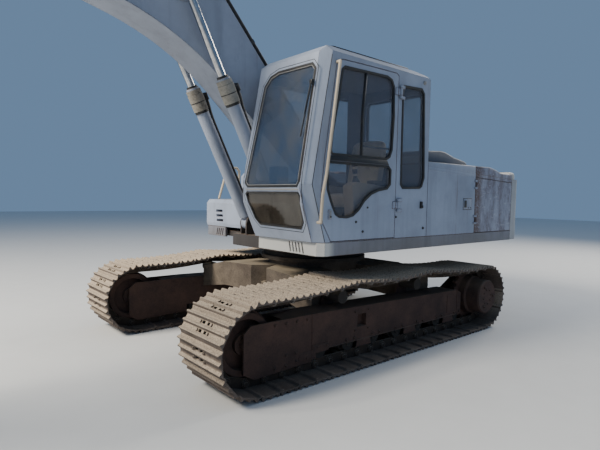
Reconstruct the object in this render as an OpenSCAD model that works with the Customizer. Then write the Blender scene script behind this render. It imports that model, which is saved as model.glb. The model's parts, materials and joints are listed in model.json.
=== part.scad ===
// Crawler excavator of the 20 tonne class, standing parked with its boom raised.
// Frame: +X forward, +Y to the machine's left, +Z up, millimetres.
// The origin is on the ground under the slewing axis.

/* [Undercarriage] */
// Distance between the two track centre lines
gauge = 2380; // [2280:10:2500]
// Width of a track shoe
shoe_w = 650; // [500:10:700]
// Distance between idler axle and drive axle
tumblers = 3480; // [3300:10:3700]
// How far the middle of the tracks lies ahead of the slewing axis
track_ahead = 150; // [50:10:200]
// Radius of the chain's pin line on idler and drive
pin_r = 322; // [310:1:335]
// Number of shoes on one track
shoes = 47; // [45:1:49]
// Height of a shoe's outer edge above the pin line
shoe_top = 78; // [72:1:86]
// Height of the rail below and above the pin line
rail_h = 46; // [40:1:50]
// How far the carrier rollers lift the upper run
carrier_lift = 55; // [30:1:70]
// Outer radius of a lower roller's tread
roller_r = 78; // [70:1:84]
// Half width of the track frame
frame_half = 140; // [130:1:150]

/* [Upper structure] */
// Half width of the upper structure
upper_half = 1370; // [1320:5:1420]
// Underside of the side skirts
skirt_z = 1072; // [1060:1:1080]
// Deck height, where cab and housings stand
deck_z = 1197; // [1180:1:1220]
// Rear end of the counterweight, from the slewing axis
tail_r = 2909; // [2800:1:3000]
// Wall thickness of the cab
cab_wall = 45; // [35:1:60]
// Inner side of the cab, next to the boom
cab_in = 400; // [398:1:430]
// Height of the cab roof
cab_top = 2949; // [2900:1:3000]

/* [Boom and arm] */
// Half width of the boom
boom_half = 205; // [190:1:206]
// Half width of the arm
arm_half = 150; // [140:1:152]
// Length of the arm from its pivot to the bucket pin
arm_len = 2920; // [2700:10:3100]
// Direction of the arm, seen from the left, counted from forward over up
arm_dir = 268; // [262:0.5:272]
// Direction from bucket pin to the bucket's teeth
tooth_dir = 225; // [222:1:230]
// Distance from the centre plane to a boom cylinder
boom_cyl_y = 312; // [310:1:315]
// Outer radius of a boom cylinder
boom_tube_r = 70; // [60:1:72]
// Width of the bucket
bucket_w = 900; // [700:10:1100]

/* [Hidden] */
$fn = 64;

// Clearances: a running pin, a seated face, and pieces that pass each other
pin_gap = 0.5;
seat_gap = 0.3;
pass_gap = 6;

// Track geometry
front_x = track_ahead + tumblers / 2;
rear_x = track_ahead - tumblers / 2;
hub_z = pin_r + shoe_top;
arc_len = PI * pin_r;
pitch = (2 * tumblers + 2 * arc_len) / shoes;
carriers = [-400, 780];
// Spans of the upper run: start x, start lift, end x, end lift, sag
spans = [[rear_x, 0, carriers[0], carrier_lift, 30],
    [carriers[0], carrier_lift, carriers[1], carrier_lift, 35],
    [carriers[1], carrier_lift, front_x, 0, 25]];

// Boom and linkage pins, as [x, z]
boom_foot = [100, 1700];
boom_tip = [5250, 4100];
boom_eye = [1950, 3590];
lift_foot = [775, 1280];
crowd_foot = [2750, 4380];
function polar(p, r, a) = [p[0] + r * cos(a), p[1] + r * sin(a)];
function in_arm(a, n) = [boom_tip[0] + a * cos(arm_dir) - n * sin(arm_dir),
    boom_tip[1] + a * sin(arm_dir) + n * cos(arm_dir)];
crowd_r = 860;
crowd_back = 150;
crowd_eye = polar(boom_tip, crowd_r, arm_dir + crowd_back);
bucket_pin = in_arm(arm_len, 0);
link_back = 440;
link_pivot = in_arm(arm_len - link_back, 40);
curl_at = [340, 530];
curl_foot = in_arm(curl_at[0], curl_at[1]);
ear_r = 440;
ear_turn = 105;
bucket_ear = polar(bucket_pin, ear_r, tooth_dir + ear_turn);
tip_link = 600;
pull_link = 530;
function meet(p, r, q, s) = let (dx = q[0] - p[0], dz = q[1] - p[1], d = norm([dx, dz]),
    u = (r * r - s * s + d * d) / (2 * d), h = sqrt(r * r - u * u))
    [p[0] + (u * dx - h * dz) / d, p[1] + (u * dz + h * dx) / d];
link_eye = meet(link_pivot, tip_link, bucket_ear, pull_link);
function heading(p, q) = atan2(q[1] - p[1], q[0] - p[0]);
function reach(p, q) = norm([q[0] - p[0], q[1] - p[1]]);

// Small helpers
function arc(c, r, a0, a1, n = 8) = [for (i = [0:n]) polar(c, r, a0 + (a1 - a0) * i / n)];
module bar(p, r, y0, y1) {
    translate([p[0], y0, p[1]]) rotate([-90, 0, 0]) cylinder(r = r, h = y1 - y0);
}
module plate(pts, y0, y1) {
    translate([0, y1, 0]) rotate([90, 0, 0]) linear_extrude(y1 - y0) polygon(pts);
}
module box(x0, x1, y0, y1, z0, z1) {
    translate([x0, y0, z0]) cube([x1 - x0, y1 - y0, z1 - z0]);
}
module both() {
    children();
    mirror([0, 1, 0]) children();
}
// Puts a shape that lies along +X at pin p and turns it to heading a
module swing(p, a) {
    translate([p[0], 0, p[1]]) rotate([0, -a, 0]) children();
}
module on_side(side) {
    if (side > 0) children();
    else mirror([0, 1, 0]) children();
}

// Chain path: bottom run, drive, upper run, idler
function lift(x) = let (s = [for (p = spans) if (x >= p[0] - 0.01 && x <= p[2] + 0.01) p][0],
    t = (x - s[0]) / (s[2] - s[0])) s[1] + (s[3] - s[1]) * t - s[4] * 4 * t * (1 - t);
function chain(s) = s < tumblers ? [front_x - s, shoe_top]
    : s < tumblers + arc_len ? polar([rear_x, hub_z], pin_r, 270 - (s - tumblers) / pin_r * 180 / PI)
    : s < 2 * tumblers + arc_len ? let (x = rear_x + s - tumblers - arc_len) [x, hub_z + pin_r + lift(x)]
    : polar([front_x, hub_z], pin_r, 90 - (s - 2 * tumblers - arc_len) / pin_r * 180 / PI);
// A point at u along shoe i and w outside its pin line
function on_shoe(i, u, w) = let (p = chain(i * pitch), q = chain(i + 1 < shoes ? (i + 1) * pitch : 0),
    d = reach(p, q), e = [(q[0] - p[0]) / d, (q[1] - p[1]) / d])
    [p[0] + e[0] * u * d - e[1] * w, p[1] + e[1] * u * d + e[0] * w];
// Outline of one shoe with three grousers, as shares of the pitch and heights
function shoe_line() = [[0.02, shoe_top - 24], [0.08, shoe_top], [0.14, shoe_top], [0.3, shoe_top - 22],
    [0.46, shoe_top], [0.54, shoe_top], [0.7, shoe_top - 22], [0.86, shoe_top], [0.92, shoe_top],
    [0.98, shoe_top - 24]];
shoe_seat = shoe_top - 34;
module track() {
    outer = [for (i = [0:shoes - 1]) for (q = shoe_line()) on_shoe(i, q[0], q[1])];
    inner = [for (i = [0:shoes - 1]) for (u = [0.04, 0.96]) on_shoe(i, u, shoe_seat)];
    turns = [for (i = [0:shoes - 1]) if (i < 1 || i * pitch > tumblers - pitch) i];
    rail_out = [for (i = turns) on_shoe(i, 0, shoe_seat + 4)];
    rail_in = [for (i = turns) on_shoe(i, 0, -rail_h)];
    color("tan") {
        difference() {
            plate(outer, -shoe_w / 2, shoe_w / 2);
            plate(inner, -shoe_w, shoe_w);
        }
        both() difference() {
            plate(rail_out, 70, 105);
            plate(rail_in, 60, 115);
        }
    }
}
module at_track(side) {
    translate([0, side * gauge / 2, 0]) children();
}

// Drive: toothed ring, drum, cover and motor, revolved about the drive axle
teeth = 21;
module drive(side) {
    root_r = pin_r - 34;
    tip_r = pin_r + 6;
    step = 360 / teeth;
    color("saddlebrown") at_track(side) on_side(side) translate([rear_x, 0, hub_z]) rotate([-90, 0, 0]) {
        linear_extrude(52, center = true) polygon([for (k = [0:teeth - 1]) for (q = [[-0.5, root_r],
            [-0.28, root_r], [-0.12, tip_r], [0.12, tip_r], [0.28, root_r]]) polar([0, 0], q[1], (k + q[0]) * step)]);
        rotate_extrude() polygon([[0, -165], [150, -165], [160, -155], [160, -60], [240, -50], [240, -26],
            [262, -20], [262, 20], [236, 34], [236, 118], [209, 134], [209, 285], [196, 300], [0, 300]]);
    }
}
// Idler: rim with a centre flange on an axle that ends in the slide blocks
module idler(side) {
    rim = sqrt(pin_r * pin_r - pitch * pitch / 4) - rail_h - 2;
    end = frame_half - 20 - seat_gap;
    color("saddlebrown") at_track(side) translate([front_x, 0, hub_z]) rotate([-90, 0, 0])
        rotate_extrude() polygon([[0, -end], [50, -end], [50, -80], [90, -80], [90, -40], [rim - 50, -30],
            [rim - 50, -95], [rim, -95], [rim, -60], [rim + 22, -54], [rim + 22, 54], [rim, 60], [rim, 95],
            [rim - 50, 95], [rim - 50, 30], [90, 40], [90, 80], [50, 80], [50, end], [0, end]]);
}
// Lower rollers and carrier rollers of one side
roller_x = [for (k = [0:7]) track_ahead - 1310 + k * 372];
roller_z = shoe_top + rail_h + roller_r + seat_gap;
carrier_r = 62;
carrier_z = hub_z + pin_r + carrier_lift - rail_h - carrier_r - 14;
module rollers(side) {
    r = roller_r;
    end = frame_half - 20 - seat_gap;
    color("dimgray") at_track(side) on_side(side) {
        for (x = roller_x) translate([x, 0, roller_z]) rotate([-90, 0, 0]) rotate_extrude()
            polygon([[0, -end], [32, -end], [32, -108], [r, -106], [r, -62], [r + 16, -56], [r + 16, 56],
                [r, 62], [r, 106], [32, 108], [32, end], [0, end]]);
        for (x = carriers) translate([x, 0, carrier_z]) rotate([-90, 0, 0]) rotate_extrude()
            polygon([[0, -125], [28, -125], [28, -108], [carrier_r, -106], [carrier_r, 106], [0, 106]]);
    }
}
// Track frame: closed box over the rollers, side flanges, idler fork, drive bracket
frame_top = 511;
module track_frame(side) {
    h = frame_half;
    t = 20;
    back = rear_x + pin_r + 22;
    color("sienna") at_track(side) on_side(side) {
        difference() {
            union() {
                plate([[back, 215], [1350, 215], [1350, 300], [1480, 300], [1480, 540], [1180, 560],
                    [-1150, frame_top], [back, 470]], -h, h);
                // Idler guards on both sides
                for (y = [-h, h - t]) plate([[1200, 130], [1830, 108], [1935, 170], [1935, 500], [1860, 560],
                    [1200, 560]], y, y + t);
            }
            // Space for the rollers between the flanges
            box(back - 10, 1980, -h + t, h - t, 100, 300);
            // Space for the idler
            box(front_x - 310, front_x + 300, -h + t, h - t, 90, 800);
            // Opening to the track adjuster
            box(480, 608, h - 60, h + 10, 345, 470);
        }
        // Bracket that carries the drive
        difference() {
            union() {
                plate([[back, 240], [back, 480], [rear_x, 660], [rear_x - 150, 610], [rear_x - 240, 470],
                    [rear_x - 240, 330], [rear_x - 150, 190], [rear_x, 150]], -h - 26, -h);
                plate([[back - 40, 230], [back + 160, 230], [back + 160, 470], [back - 40, 470]], -h - 26, -h);
            }
            bar([rear_x, hub_z], 160 + seat_gap, -h - 60, -60);
        }
        // Posts of the carrier rollers
        for (x = carriers) difference() {
            plate([[x - 110, frame_top - 20], [x + 110, frame_top - 20], [x + 46, carrier_z + 30],
                [x - 46, carrier_z + 30]], -h, -h + 30);
            bar([x, carrier_z], 28 + seat_gap, -h - 5, -h + 40);
        }
    }
}

// Car body: hub under the slewing bearing and four legs to the track frames
ring_z = [905, 1010];
leg_end = gauge / 2 - frame_half;
tow_x = 715;
tow_r = 30;
module car_body() {
    leg_plan = [[-120, 300], [240, 420], [520, leg_end], [960, leg_end], [840, 150], [560, -10], [0, -10]];
    leg_side = [[-10, 500], [620, 500], [leg_end, 430], [leg_end, 690], [640, 790], [-10, 800]];
    color("sienna") {
        translate([0, 0, 480]) cylinder(r = 560, h = ring_z[0] - 40 - 480);
        translate([0, 0, ring_z[0] - 45]) cylinder(r = 645, h = 45);
        for (m = [0, 1]) mirror([m, 0, 0]) both() intersection() {
            linear_extrude(1000) polygon(leg_plan);
            rotate([90, 0, 90]) linear_extrude(1200) polygon(leg_side);
        }
        // Towing eye at the front
        difference() {
            translate([0, 0, 560]) linear_extrude(50)
                polygon([[520, -60], [700, -75], [770, -45], [790, 0], [770, 45], [700, 75], [520, 60]]);
            translate([tow_x, 0, 500]) cylinder(r = tow_r, h = 200);
        }
    }
}
module slew_ring() {
    color("dimgray") translate([0, 0, ring_z[0]]) difference() {
        cylinder(r = 620, h = ring_z[1] - ring_z[0]);
        translate([0, 0, -1]) cylinder(r = 470, h = 200);
    }
}

// Main frame: bottom plate, deck, and two long plates that hold boom and lift cylinders
plate_y = [boom_half + pass_gap, boom_half + 31];
// Rear end of the frame, and the top of its deck under the sills
tail_x = 552 - tail_r;
deck_x = 1090;
// Front of the right-hand side, behind that of the cab
right_x = 740;
sub_z = 1150;
eye_half = 48;
module lug_line(y0, y1) {
    // Side plate from the tail to the boom foot and out to the lift cylinder's foot
    plate([[-1400, 1060], [-1400, 1480], [-500, 1640], [-60, 1860], [60, 1880], [190, 1850],
        [300, 1700], [560, 1385], [690, 1365], [775, 1362], [850, 1340], [868, 1280], [868, 1060]], y0, y1);
}
module main_frame() {
    lug_outer = [boom_cyl_y + eye_half + 2, boom_cyl_y + eye_half + 22];
    color("slategray") difference() {
        union() {
            // Bottom plate over the bearing
            box(tail_x, 868, -500, 500, ring_z[1] + seat_gap, sub_z);
            // Decks left and right
            box(tail_x, deck_x, 380, upper_half - 30 - seat_gap, skirt_z + 8, sub_z);
            box(tail_x, right_x - 68, -upper_half + 30 + seat_gap, -380, skirt_z + 8, sub_z);
            both() lug_line(plate_y[0], plate_y[1]);
            both() {
                // Bosses and outer lugs of the lift cylinders
                bar(lift_foot, 70, plate_y[1] - 1, boom_cyl_y - eye_half - 4);
                bar(lift_foot, 72, lug_outer[0], lug_outer[1]);
                plate([[600, 1100], [840, 1100], [840, 1250], [720, 1320]], lug_outer[0], lug_outer[1]);
                bar(lift_foot, 45, plate_y[0] + 2, lug_outer[1] + 5);
                bar(boom_foot, 120, plate_y[1] - 1, plate_y[1] + 30);
            }
            bar(boom_foot, 45, -plate_y[1] - 40, plate_y[1] + 40);
            // Side sills that carry cab and housings
            for (k = [[1, deck_x - 6, 800], [-1, right_x - 74, right_x - 74]]) on_side(k[0]) {
                box(bay_x[1] - 40, k[1], upper_half - 98, upper_half - 38, sub_z - 1, deck_z - seat_gap);
                box(bay_x[1] - 40, k[2], cab_in, cab_in + 40, sub_z - 1, deck_z - seat_gap);
            }
        }
        // Well for the swivel joint, between the long plates
        box(-170, 170, -160, 160, 1000, 1300);
    }
}
module side_skirts() {
    w = 30;
    color("gainsboro") for (k = [[1, deck_x + 68, 440], [-1, right_x, 880]]) on_side(k[0]) difference() {
        translate([0, 0, skirt_z]) linear_extrude(deck_z - skirt_z - 3)
            polygon([[tail_x + 2, upper_half - w], [tail_x + 2, upper_half], [k[1] - 53, upper_half],
                [k[1], upper_half - 53], [k[1], k[2]], [k[1] - w, k[2]], [k[1] - w, upper_half - 66],
                [k[1] - 66, upper_half - w]]);
        // Air slots in the front
        for (n = [0:3]) translate([k[1] - 18, 1080 - n * 45, skirt_z + 60]) rotate([15, 0, 0])
            cube([60, 18, 90], center = true);
    }
}

// Cab: side line, nose and roof, as [x, z]
cab_back = -422;
cab_line = [[cab_back, deck_z], [1190, deck_z], [1228, 1290], [1330, 1545], [1350, 1700], [1345, 1770],
    [1140, cab_top - 59], [1085, cab_top - 6], [1000, cab_top], [-143, cab_top], [-348, cab_top - 22],
    [cab_back, cab_top - 69]];
cab_hole = [[cab_back + cab_wall, deck_z + 40], [1150, deck_z + 40], [1182, 1300], [1284, 1555], [1303, 1700],
    [1298, 1765], [1098, cab_top - 99], [1050, cab_top - 60], [-130, cab_top - 60], [-320, cab_top - 82],
    [cab_back + cab_wall, cab_top - 99]];
// The front post is thicker, so that the bevel on it doesn't cut through
post_hole = [for (p = cab_hole) p[0] > 1000 ? [p[0] - 24, p[1]] : p];
// Openings follow the roof
function up(pts) = [for (p = pts) p[1] > 2300 ? [p[0], p[1] + cab_top - 2949] : p];
door_line = up([[126, deck_z + 4], [1037, deck_z + 4], [1140, 1369], [1168, 1560], [1160, 1720], [1128, 1990],
    [1040, 2560], [1008, 2780], [980, 2822], [930, 2844], [663, 2851], [160, 2857], [120, 2835]]);
door_glass = up([[940, 2758], [900, 2790], [300, 2805], [225, 2780], [190, 2720], [176, 2423], [196, 2085],
    [230, 2010], [290, 1980], [1040, 1980], [1070, 2010], [1051, 2184], [984, 2487]]);
door_low = [[1075, 1930], [250, 1930], [205, 1890], [208, 1740], [260, 1692], [387, 1673], [496, 1636],
    [590, 1570], [668, 1483], [746, 1430], [835, 1412], [940, 1420], [990, 1450], [1053, 1567], [1095, 1669],
    [1098, 1900]];
rear_glass = up([[40, 2755], [-270, 2770], [-318, 2720], [-358, 1830], [-320, 1735], [-280, 1712], [20, 1703],
    [58, 1745], [62, 2730]]);
right_glass = up([[900, 2760], [-280, 2760], [-320, 2720], [-350, 1800], [-310, 1750], [1180, 1750], [1215, 1800],
    [1060, 2720]]);
// Windscreen and lower front window as [y, z]
screen = up([[500, 1688], [455, 1730], [535, 2690], [610, 2775], [730, 2808], [1225, 2800], [1284, 2740],
    [1292, 1735], [1262, 1688]]);
low_screen = [[482, 1648], [458, 1625], [520, 1385], [575, 1322], [1200, 1312], [1262, 1380], [1290, 1615],
    [1270, 1648]];
rear_screen = up([[520, 1980], [480, 2020], [480, 2700], [520, 2740], [1240, 2740], [1280, 2700], [1280, 2020],
    [1240, 1980]]);
module across(pts, x0, x1) {
    translate([x0, 0, 0]) rotate([90, 0, 90]) linear_extrude(x1 - x0) polygon(pts);
}
// A pane inside an opening: the outline drawn in by the seat gap
function inset(pts, g) = let (c = [for (k = [0, 1]) (max([for (p = pts) p[k]]) + min([for (p = pts) p[k]])) / 2],
    s = [for (k = [0, 1]) max([for (p = pts) p[k]]) - c[k]])
    [for (p = pts) [c[0] + (p[0] - c[0]) * (1 - g / s[0]), c[1] + (p[1] - c[1]) * (1 - g / s[1])]];
// Cutter along a corner of the nose, from p to q as [x, z]
cab_post = [[[1134, cab_top - 29], [1345, 1770]], [[1350, 1700], [1186, 1187]]];
module post_cut(p, q, y, a) {
    translate([p[0], y, p[1]]) rotate([0, 90 - heading(p, q), 0]) rotate([0, 0, 45])
        translate([-a / 2, -a / 2, -70]) cube([a, a, reach(p, q) + 140]);
}
module cab_shell() {
    color("gainsboro") difference() {
        plate(cab_line, cab_in, upper_half);
        plate(cab_hole, cab_in + cab_wall, upper_half - cab_wall - 22);
        plate(post_hole, upper_half - cab_wall - 23, upper_half - cab_wall);
        // Front corner posts and roof edges are bevelled
        for (k = [[cab_in, 34, 110], [upper_half, 116, 78]]) {
            post_cut(cab_post[0][0], cab_post[0][1], k[0], k[1]);
            post_cut(cab_post[1][0], cab_post[1][1], k[0], k[1]);
            translate([cab_back - 10, k[0], cab_top]) rotate([45, 0, 0]) translate([0, -k[2] / 2, -k[2] / 2])
                cube([1700, k[2], k[2]]);
        }
        plate(door_line, upper_half - 300, upper_half + 10);
        plate(rear_glass, upper_half - 300, upper_half + 10);
        plate(right_glass, cab_in - 10, cab_in + 100);
        across(screen, 1020, 1500);
        across(low_screen, 1100, 1500);
        across(rear_screen, cab_back - 10, cab_back + 100);
    }
}
module front_pane(pts, line) {
    // Pane that follows a line of [x, z] points down the front
    intersection() {
        across(inset(pts, seat_gap), 1000, 1500);
        plate(concat(line, [for (n = [len(line) - 1:-1:0]) [line[n][0] - 8, line[n][1]]]), cab_in, upper_half);
    }
}
module cab_windows() {
    color("lightsteelblue") {
        plate(inset(rear_glass, seat_gap), upper_half - 26, upper_half - 18);
        plate(inset(right_glass, seat_gap), cab_in + 18, cab_in + 26);
        across(inset(rear_screen, seat_gap), cab_back + 18, cab_back + 26);
        front_pane(screen, [[1112, 2960], [1331, 1770], [1334, 1670]]);
        front_pane(low_screen, [[1332, 1660], [1318, 1546], [1204, 1260]]);
    }
}
// Door: hinged at its rear edge on a line outside the wall
door_hinge = [104, upper_half + 22];
hinge_z = [1500, cab_top - 309];
module cab_door() {
    color("gainsboro") {
        difference() {
            plate(inset(door_line, 6), upper_half - cab_wall, upper_half);
            plate(door_glass, upper_half - 100, upper_half + 10);
            plate(door_low, upper_half - 100, upper_half + 10);
        }
        // Hinge knuckles on the door
        for (z = hinge_z) difference() {
            union() {
                translate([door_hinge[0], door_hinge[1], z]) cylinder(r = 15, h = 70);
                box(door_hinge[0], 175, upper_half + 1, upper_half + 10, z, z + 70);
                box(140, 175, upper_half - 1, upper_half + 2, z, z + 70);
                box(door_hinge[0], 140, upper_half + 7, upper_half + 16, z, z + 70);
            }
            translate([door_hinge[0], door_hinge[1], z - 1]) cylinder(r = 8 + pin_gap, h = 72);
        }
        // Handle
        box(1042, 1074, upper_half - 1, upper_half + 14, 1408, 1492);
    }
}
module door_windows() {
    color("lightsteelblue") {
        plate(inset(door_glass, seat_gap), upper_half - 26, upper_half - 18);
        plate(inset(door_low, seat_gap), upper_half - 26, upper_half - 18);
    }
}
// Knuckles and pins on the cab's side of the door hinge
module hinge_posts() {
    for (z = hinge_z) {
        translate([door_hinge[0], door_hinge[1], z - 32]) cylinder(r = 8, h = 134);
        for (k = [z - 34, z + 72]) {
            translate([door_hinge[0], door_hinge[1], k]) cylinder(r = 15, h = 30);
            box(door_hinge[0] - 60, door_hinge[0], upper_half + 7, upper_half + 21, k, k + 30);
            box(door_hinge[0] - 80, door_hinge[0] - 20, upper_half - 1, upper_half + 8, k, k + 30);
        }
    }
}

// Seat and control consoles on the cab floor
floor_z = deck_z + 40;
cab_mid = (cab_in + upper_half) / 2;
module seat() {
    color("tan") translate([0, cab_mid, 0]) {
        box(60, 560, -130, 130, floor_z + seat_gap, floor_z + 260);
        box(20, 600, -250, 250, floor_z + 250, floor_z + 400);
        plate([[0, floor_z + 390], [150, floor_z + 390], [40, floor_z + 1010], [-80, floor_z + 1010]], -240, 240);
    }
}
module consoles() {
    color("tan") translate([0, cab_mid, 0]) both() {
        plate([[-40, floor_z + seat_gap], [620, floor_z + seat_gap], [680, floor_z + 480], [600, floor_z + 520],
            [-40, floor_z + 470]], 275, 400);
        translate([560, 340, floor_z + 480]) rotate([0, 8, 0]) cylinder(r = 12, h = 190);
        translate([586, 340, floor_z + 660]) sphere(r = 30);
    }
    // Travel levers
    color("black") for (y = [-90, 90]) translate([900, cab_mid + y, floor_z + seat_gap]) {
        translate([-60, -40, 0]) cube([200, 80, 20]);
        translate([60, 0, 10]) rotate([0, -12, 0]) cylinder(r = 11, h = 560);
    }
}

// Housings: their top falls a little towards the tail
bay_x = [tail_x - 1, -1424];
function top_z(x) = 1962 + (x + 431) * 0.042;
module left_housing() {
    x0 = bay_x[1] + 3;
    x1 = cab_back - 6;
    color("gainsboro") side_hinges();
    color("gainsboro") difference() {
        union() {
            plate([[x0, deck_z], [x1, deck_z], [x1, top_z(x1)], [x0, top_z(x0)]], 445, upper_half);
            plate([[x1, 1900], [x1, 2085], [x1 - 450, 2062], [x1 - 760, 2005], [x0 + 10, 1900]], 520, 1240);
        }
        translate([x0 - 10, upper_half, top_z(x0)]) rotate([0, -2.4, 0]) rotate([45, 0, 0])
            translate([0, -28, -28]) cube([1200, 56, 56]);
    }
}
// Side doors of the engine bay, hinged on upright lines at their front edges
side_door_hinge = [bay_x[1] - 14, upper_half + 12];
module side_door() {
    x0 = bay_x[0] + 6;
    x1 = bay_x[1] - 6;
    difference() {
        union() {
            plate([[x0, deck_z + 4], [x1, deck_z + 4], [x1, top_z(x1) - 46], [x0, top_z(x0) - 46]],
                upper_half - 35, upper_half);
            for (z = [1330, 1760]) {
                translate([side_door_hinge[0], side_door_hinge[1], z]) cylinder(r = 11, h = 60);
                box(side_door_hinge[0] - 40, side_door_hinge[0], upper_half - 1, side_door_hinge[1] + 2, z, z + 60);
            }
        }
        for (z = [1330, 1760]) translate([side_door_hinge[0], side_door_hinge[1], z - 1])
            cylinder(r = 5 + pin_gap, h = 62);
    }
}
// Fixed halves of a side door's hinges, on the housing ahead of the door
module side_hinges() {
    x = side_door_hinge[0];
    for (z = [1330, 1760]) {
        translate([x, side_door_hinge[1], z - 22]) cylinder(r = 5, h = 104);
        for (k = [z - 24, z + 62]) {
            translate([x, side_door_hinge[1], k]) cylinder(r = 11, h = 22);
            box(x, x + 45, upper_half + 5, side_door_hinge[1] + 5, k, k + 22);
            box(bay_x[1] + 6, x + 45, upper_half - 1, upper_half + 6, k, k + 22);
        }
    }
}
module left_rear_door() { color("gray") side_door(); }
module right_rear_door() { color("gainsboro") mirror([0, 1, 0]) side_door(); }
tank_x = [-418, 180];
module right_tanks() {
    color("gainsboro") mirror([0, 1, 0]) {
        side_hinges();
        // Hydraulic tank
        plate([[bay_x[1] + 3, deck_z], [tank_x[0] - 3, deck_z], [tank_x[0] - 3, top_z(tank_x[0])],
            [bay_x[1] + 3, top_z(bay_x[1])]], 445, upper_half);
        // Fuel tank
        difference() {
            plate([[tank_x[0] + 3, deck_z], [tank_x[1], deck_z], [tank_x[1], 1880], [tank_x[1] - 60, 1940],
                [tank_x[0] + 3, 1962]], 480, upper_half);
            box(tank_x[0] - 50, tank_x[1] + 50, upper_half - 40, upper_half + 10, 1930, 2000);
        }
        translate([-100, 1100, 1930]) cylinder(r = 60, h = 60);
    }
}
module tool_box() {
    x = right_x - 6;
    color("gainsboro") mirror([0, 1, 0]) difference() {
        plate([[tank_x[1] + 5, deck_z], [x - 10, deck_z], [x, 1240], [x, 1500], [x - 40, 1550],
            [tank_x[1] + 5, 1560]], 480, upper_half);
        // Step holes in the front
        for (n = [0:2]) box(x - 120, x + 10, 950 + n * 8, 1110 + n * 8, 1262 + n * 62, 1292 + n * 62);
    }
}
rail_in = 1000;
module engine_bay() {
    color("gainsboro") {
        // Bulkhead behind the tanks, on both sides of the frame plates
        difference() {
            box(bay_x[1] - 40, bay_x[1], -upper_half + 41, upper_half - 41, deck_z, top_z(bay_x[1]) - 40);
            box(bay_x[1] - 50, bay_x[1] + 10, -300, 300, 1000, 1300);
        }
        // Roof rails beside the hood
        both() plate([[bay_x[0] + 1, top_z(bay_x[0]) - 40], [bay_x[1], top_z(bay_x[1]) - 40],
            [bay_x[1], top_z(bay_x[1])], [bay_x[0] + 1, top_z(bay_x[0])]], rail_in, upper_half);
        both() box(bay_x[0] + 1, bay_x[0] + 60, 1120, upper_half - 45, sub_z + seat_gap, top_z(bay_x[0]) - 30);
        // Hood hinge posts with their pins
        both() {
            for (y = [rail_in - 180, rail_in - 90])
                box(hood_hinge[0] - 8, bay_x[1], y, y + 20, top_z(bay_x[1]) - 60, hood_hinge[1] + 10);
            bar(hood_hinge, 8, rail_in - 180, rail_in - 70);
        }
    }
}
hood_hinge = [bay_x[1] - 22, top_z(bay_x[1]) + 14];
module engine_hood() {
    x0 = bay_x[0] + 8;
    x1 = bay_x[1] - 30;
    color("gainsboro") {
        difference() {
            plate([[x0, top_z(x0) - 34], [x1, top_z(x1) - 34], [x1, top_z(x1)],
                [x1 - 40, top_z(x1) + 2], [x0, top_z(x0) + 2]], -rail_in + 6, rail_in - 6);
            both() box(x1 - 4, x1 + 10, rail_in - 186, rail_in - 154, 1800, 2000);
            both() box(x1 - 4, x1 + 10, rail_in - 96, rail_in - 64, 1800, 2000);
        }
        both() difference() {
            union() {
                bar(hood_hinge, 16, rail_in - 154, rail_in - 96);
                box(x1 - 30, hood_hinge[0], rail_in - 154, rail_in - 96, top_z(x1) - 10, hood_hinge[1] - 4);
            }
            bar(hood_hinge, 8 + pin_gap, rail_in - 160, rail_in - 90);
        }
    }
}
module engine() {
    color("darkslategray") box(bay_x[0] + 158, bay_x[1] - 136, -560, 620, sub_z + seat_gap, 1780);
}
module radiator() {
    color("dimgray") {
        box(bay_x[0] + 78, bay_x[1] - 76, 1140, 1240, sub_z + seat_gap, 1840);
    }
}
module exhaust() {
    color("dimgray") translate([bay_x[0] + 458, -1180, top_z(bay_x[0] + 528) + seat_gap]) {
        cylinder(r = 70, h = 20);
        difference() {
            cylinder(r = 52, h = 330);
            translate([0, 0, 30]) cylinder(r = 46, h = 400);
        }
    }
}
// Counterweight: flat sides, rounded corners and a tail on the slewing circle
module counterweight() {
    corner = 170;
    turn = asin((upper_half - corner) / (tail_r - corner));
    face = bay_x[0] + 1 - seat_gap;
    plan = concat([[face, -upper_half]],
        [for (q = arc([-(tail_r - corner) * cos(turn), -(upper_half - corner)], corner, 270, 180 + turn, 6)) q],
        [for (q = arc([0, 0], tail_r, 180 + turn, 180 - turn, 12)) q],
        [for (q = arc([-(tail_r - corner) * cos(turn), upper_half - corner], corner, 180 - turn, 90, 6)) q],
        [[face, upper_half]]);
    color("lightgray") difference() {
        intersection() {
            translate([0, 0, 1070]) linear_extrude(900) polygon(plan);
            plate([[face, 1075], [129 - tail_r, 1075], [-tail_r - 91, 1190], [-tail_r - 91, 1740],
                [49 - tail_r, 1872], [209 - tail_r, 1890], [face, top_z(bay_x[0])]],
                -upper_half - 10, upper_half + 10);
        }
        // Tapped holes for lifting eyes
        both() translate([349 - tail_r, 800, 1800]) cylinder(r = 15.9, h = 200);
    }
}
module swing_motor() {
    color("slategray") {
        translate([-420, 0, sub_z + seat_gap]) cylinder(r = 190, h = 320 - 70);
        translate([-420, 0, 1400]) cylinder(r = 140, h = 260);
    }
}
// Round bar between two points, and along a row of points
module stick(p, q, r) {
    v = q - p;
    translate(p) rotate([0, acos(v[2] / norm(v)), atan2(v[1], v[0])]) cylinder(r = r, h = norm(v));
}
module rail(pts, r) {
    for (i = [0:len(pts) - 2]) stick(pts[i], pts[i + 1], r);
    for (p = pts) translate(p) sphere(r = r + 0.4);
}
module handrails() {
    y = upper_half;
    color("tan") {
        // Grab rail along the cab's front post
        rail([[1206, y + 0.5 + 14, 1383], [1206, y + 50, 1383], [1190, y + 50, 1620], [1148, y + 50, 1810],
            [1095, y + 50, 2190], [1010, y + 50, 2800], [1010, y + 0.5 + 14, 2800]], 14);
        // Guard rail on the right front, beside the steps
        rail([[583, -y + 70, 1569], [520, -y + 70, 1770], [470, -y + 70, 1950], [430, -y + 70, 1990],
            [300, -y + 70, 1990], [260, -y + 70, 1950], [260, -y + 70, 1575.3]], 16);
    }
}

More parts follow.
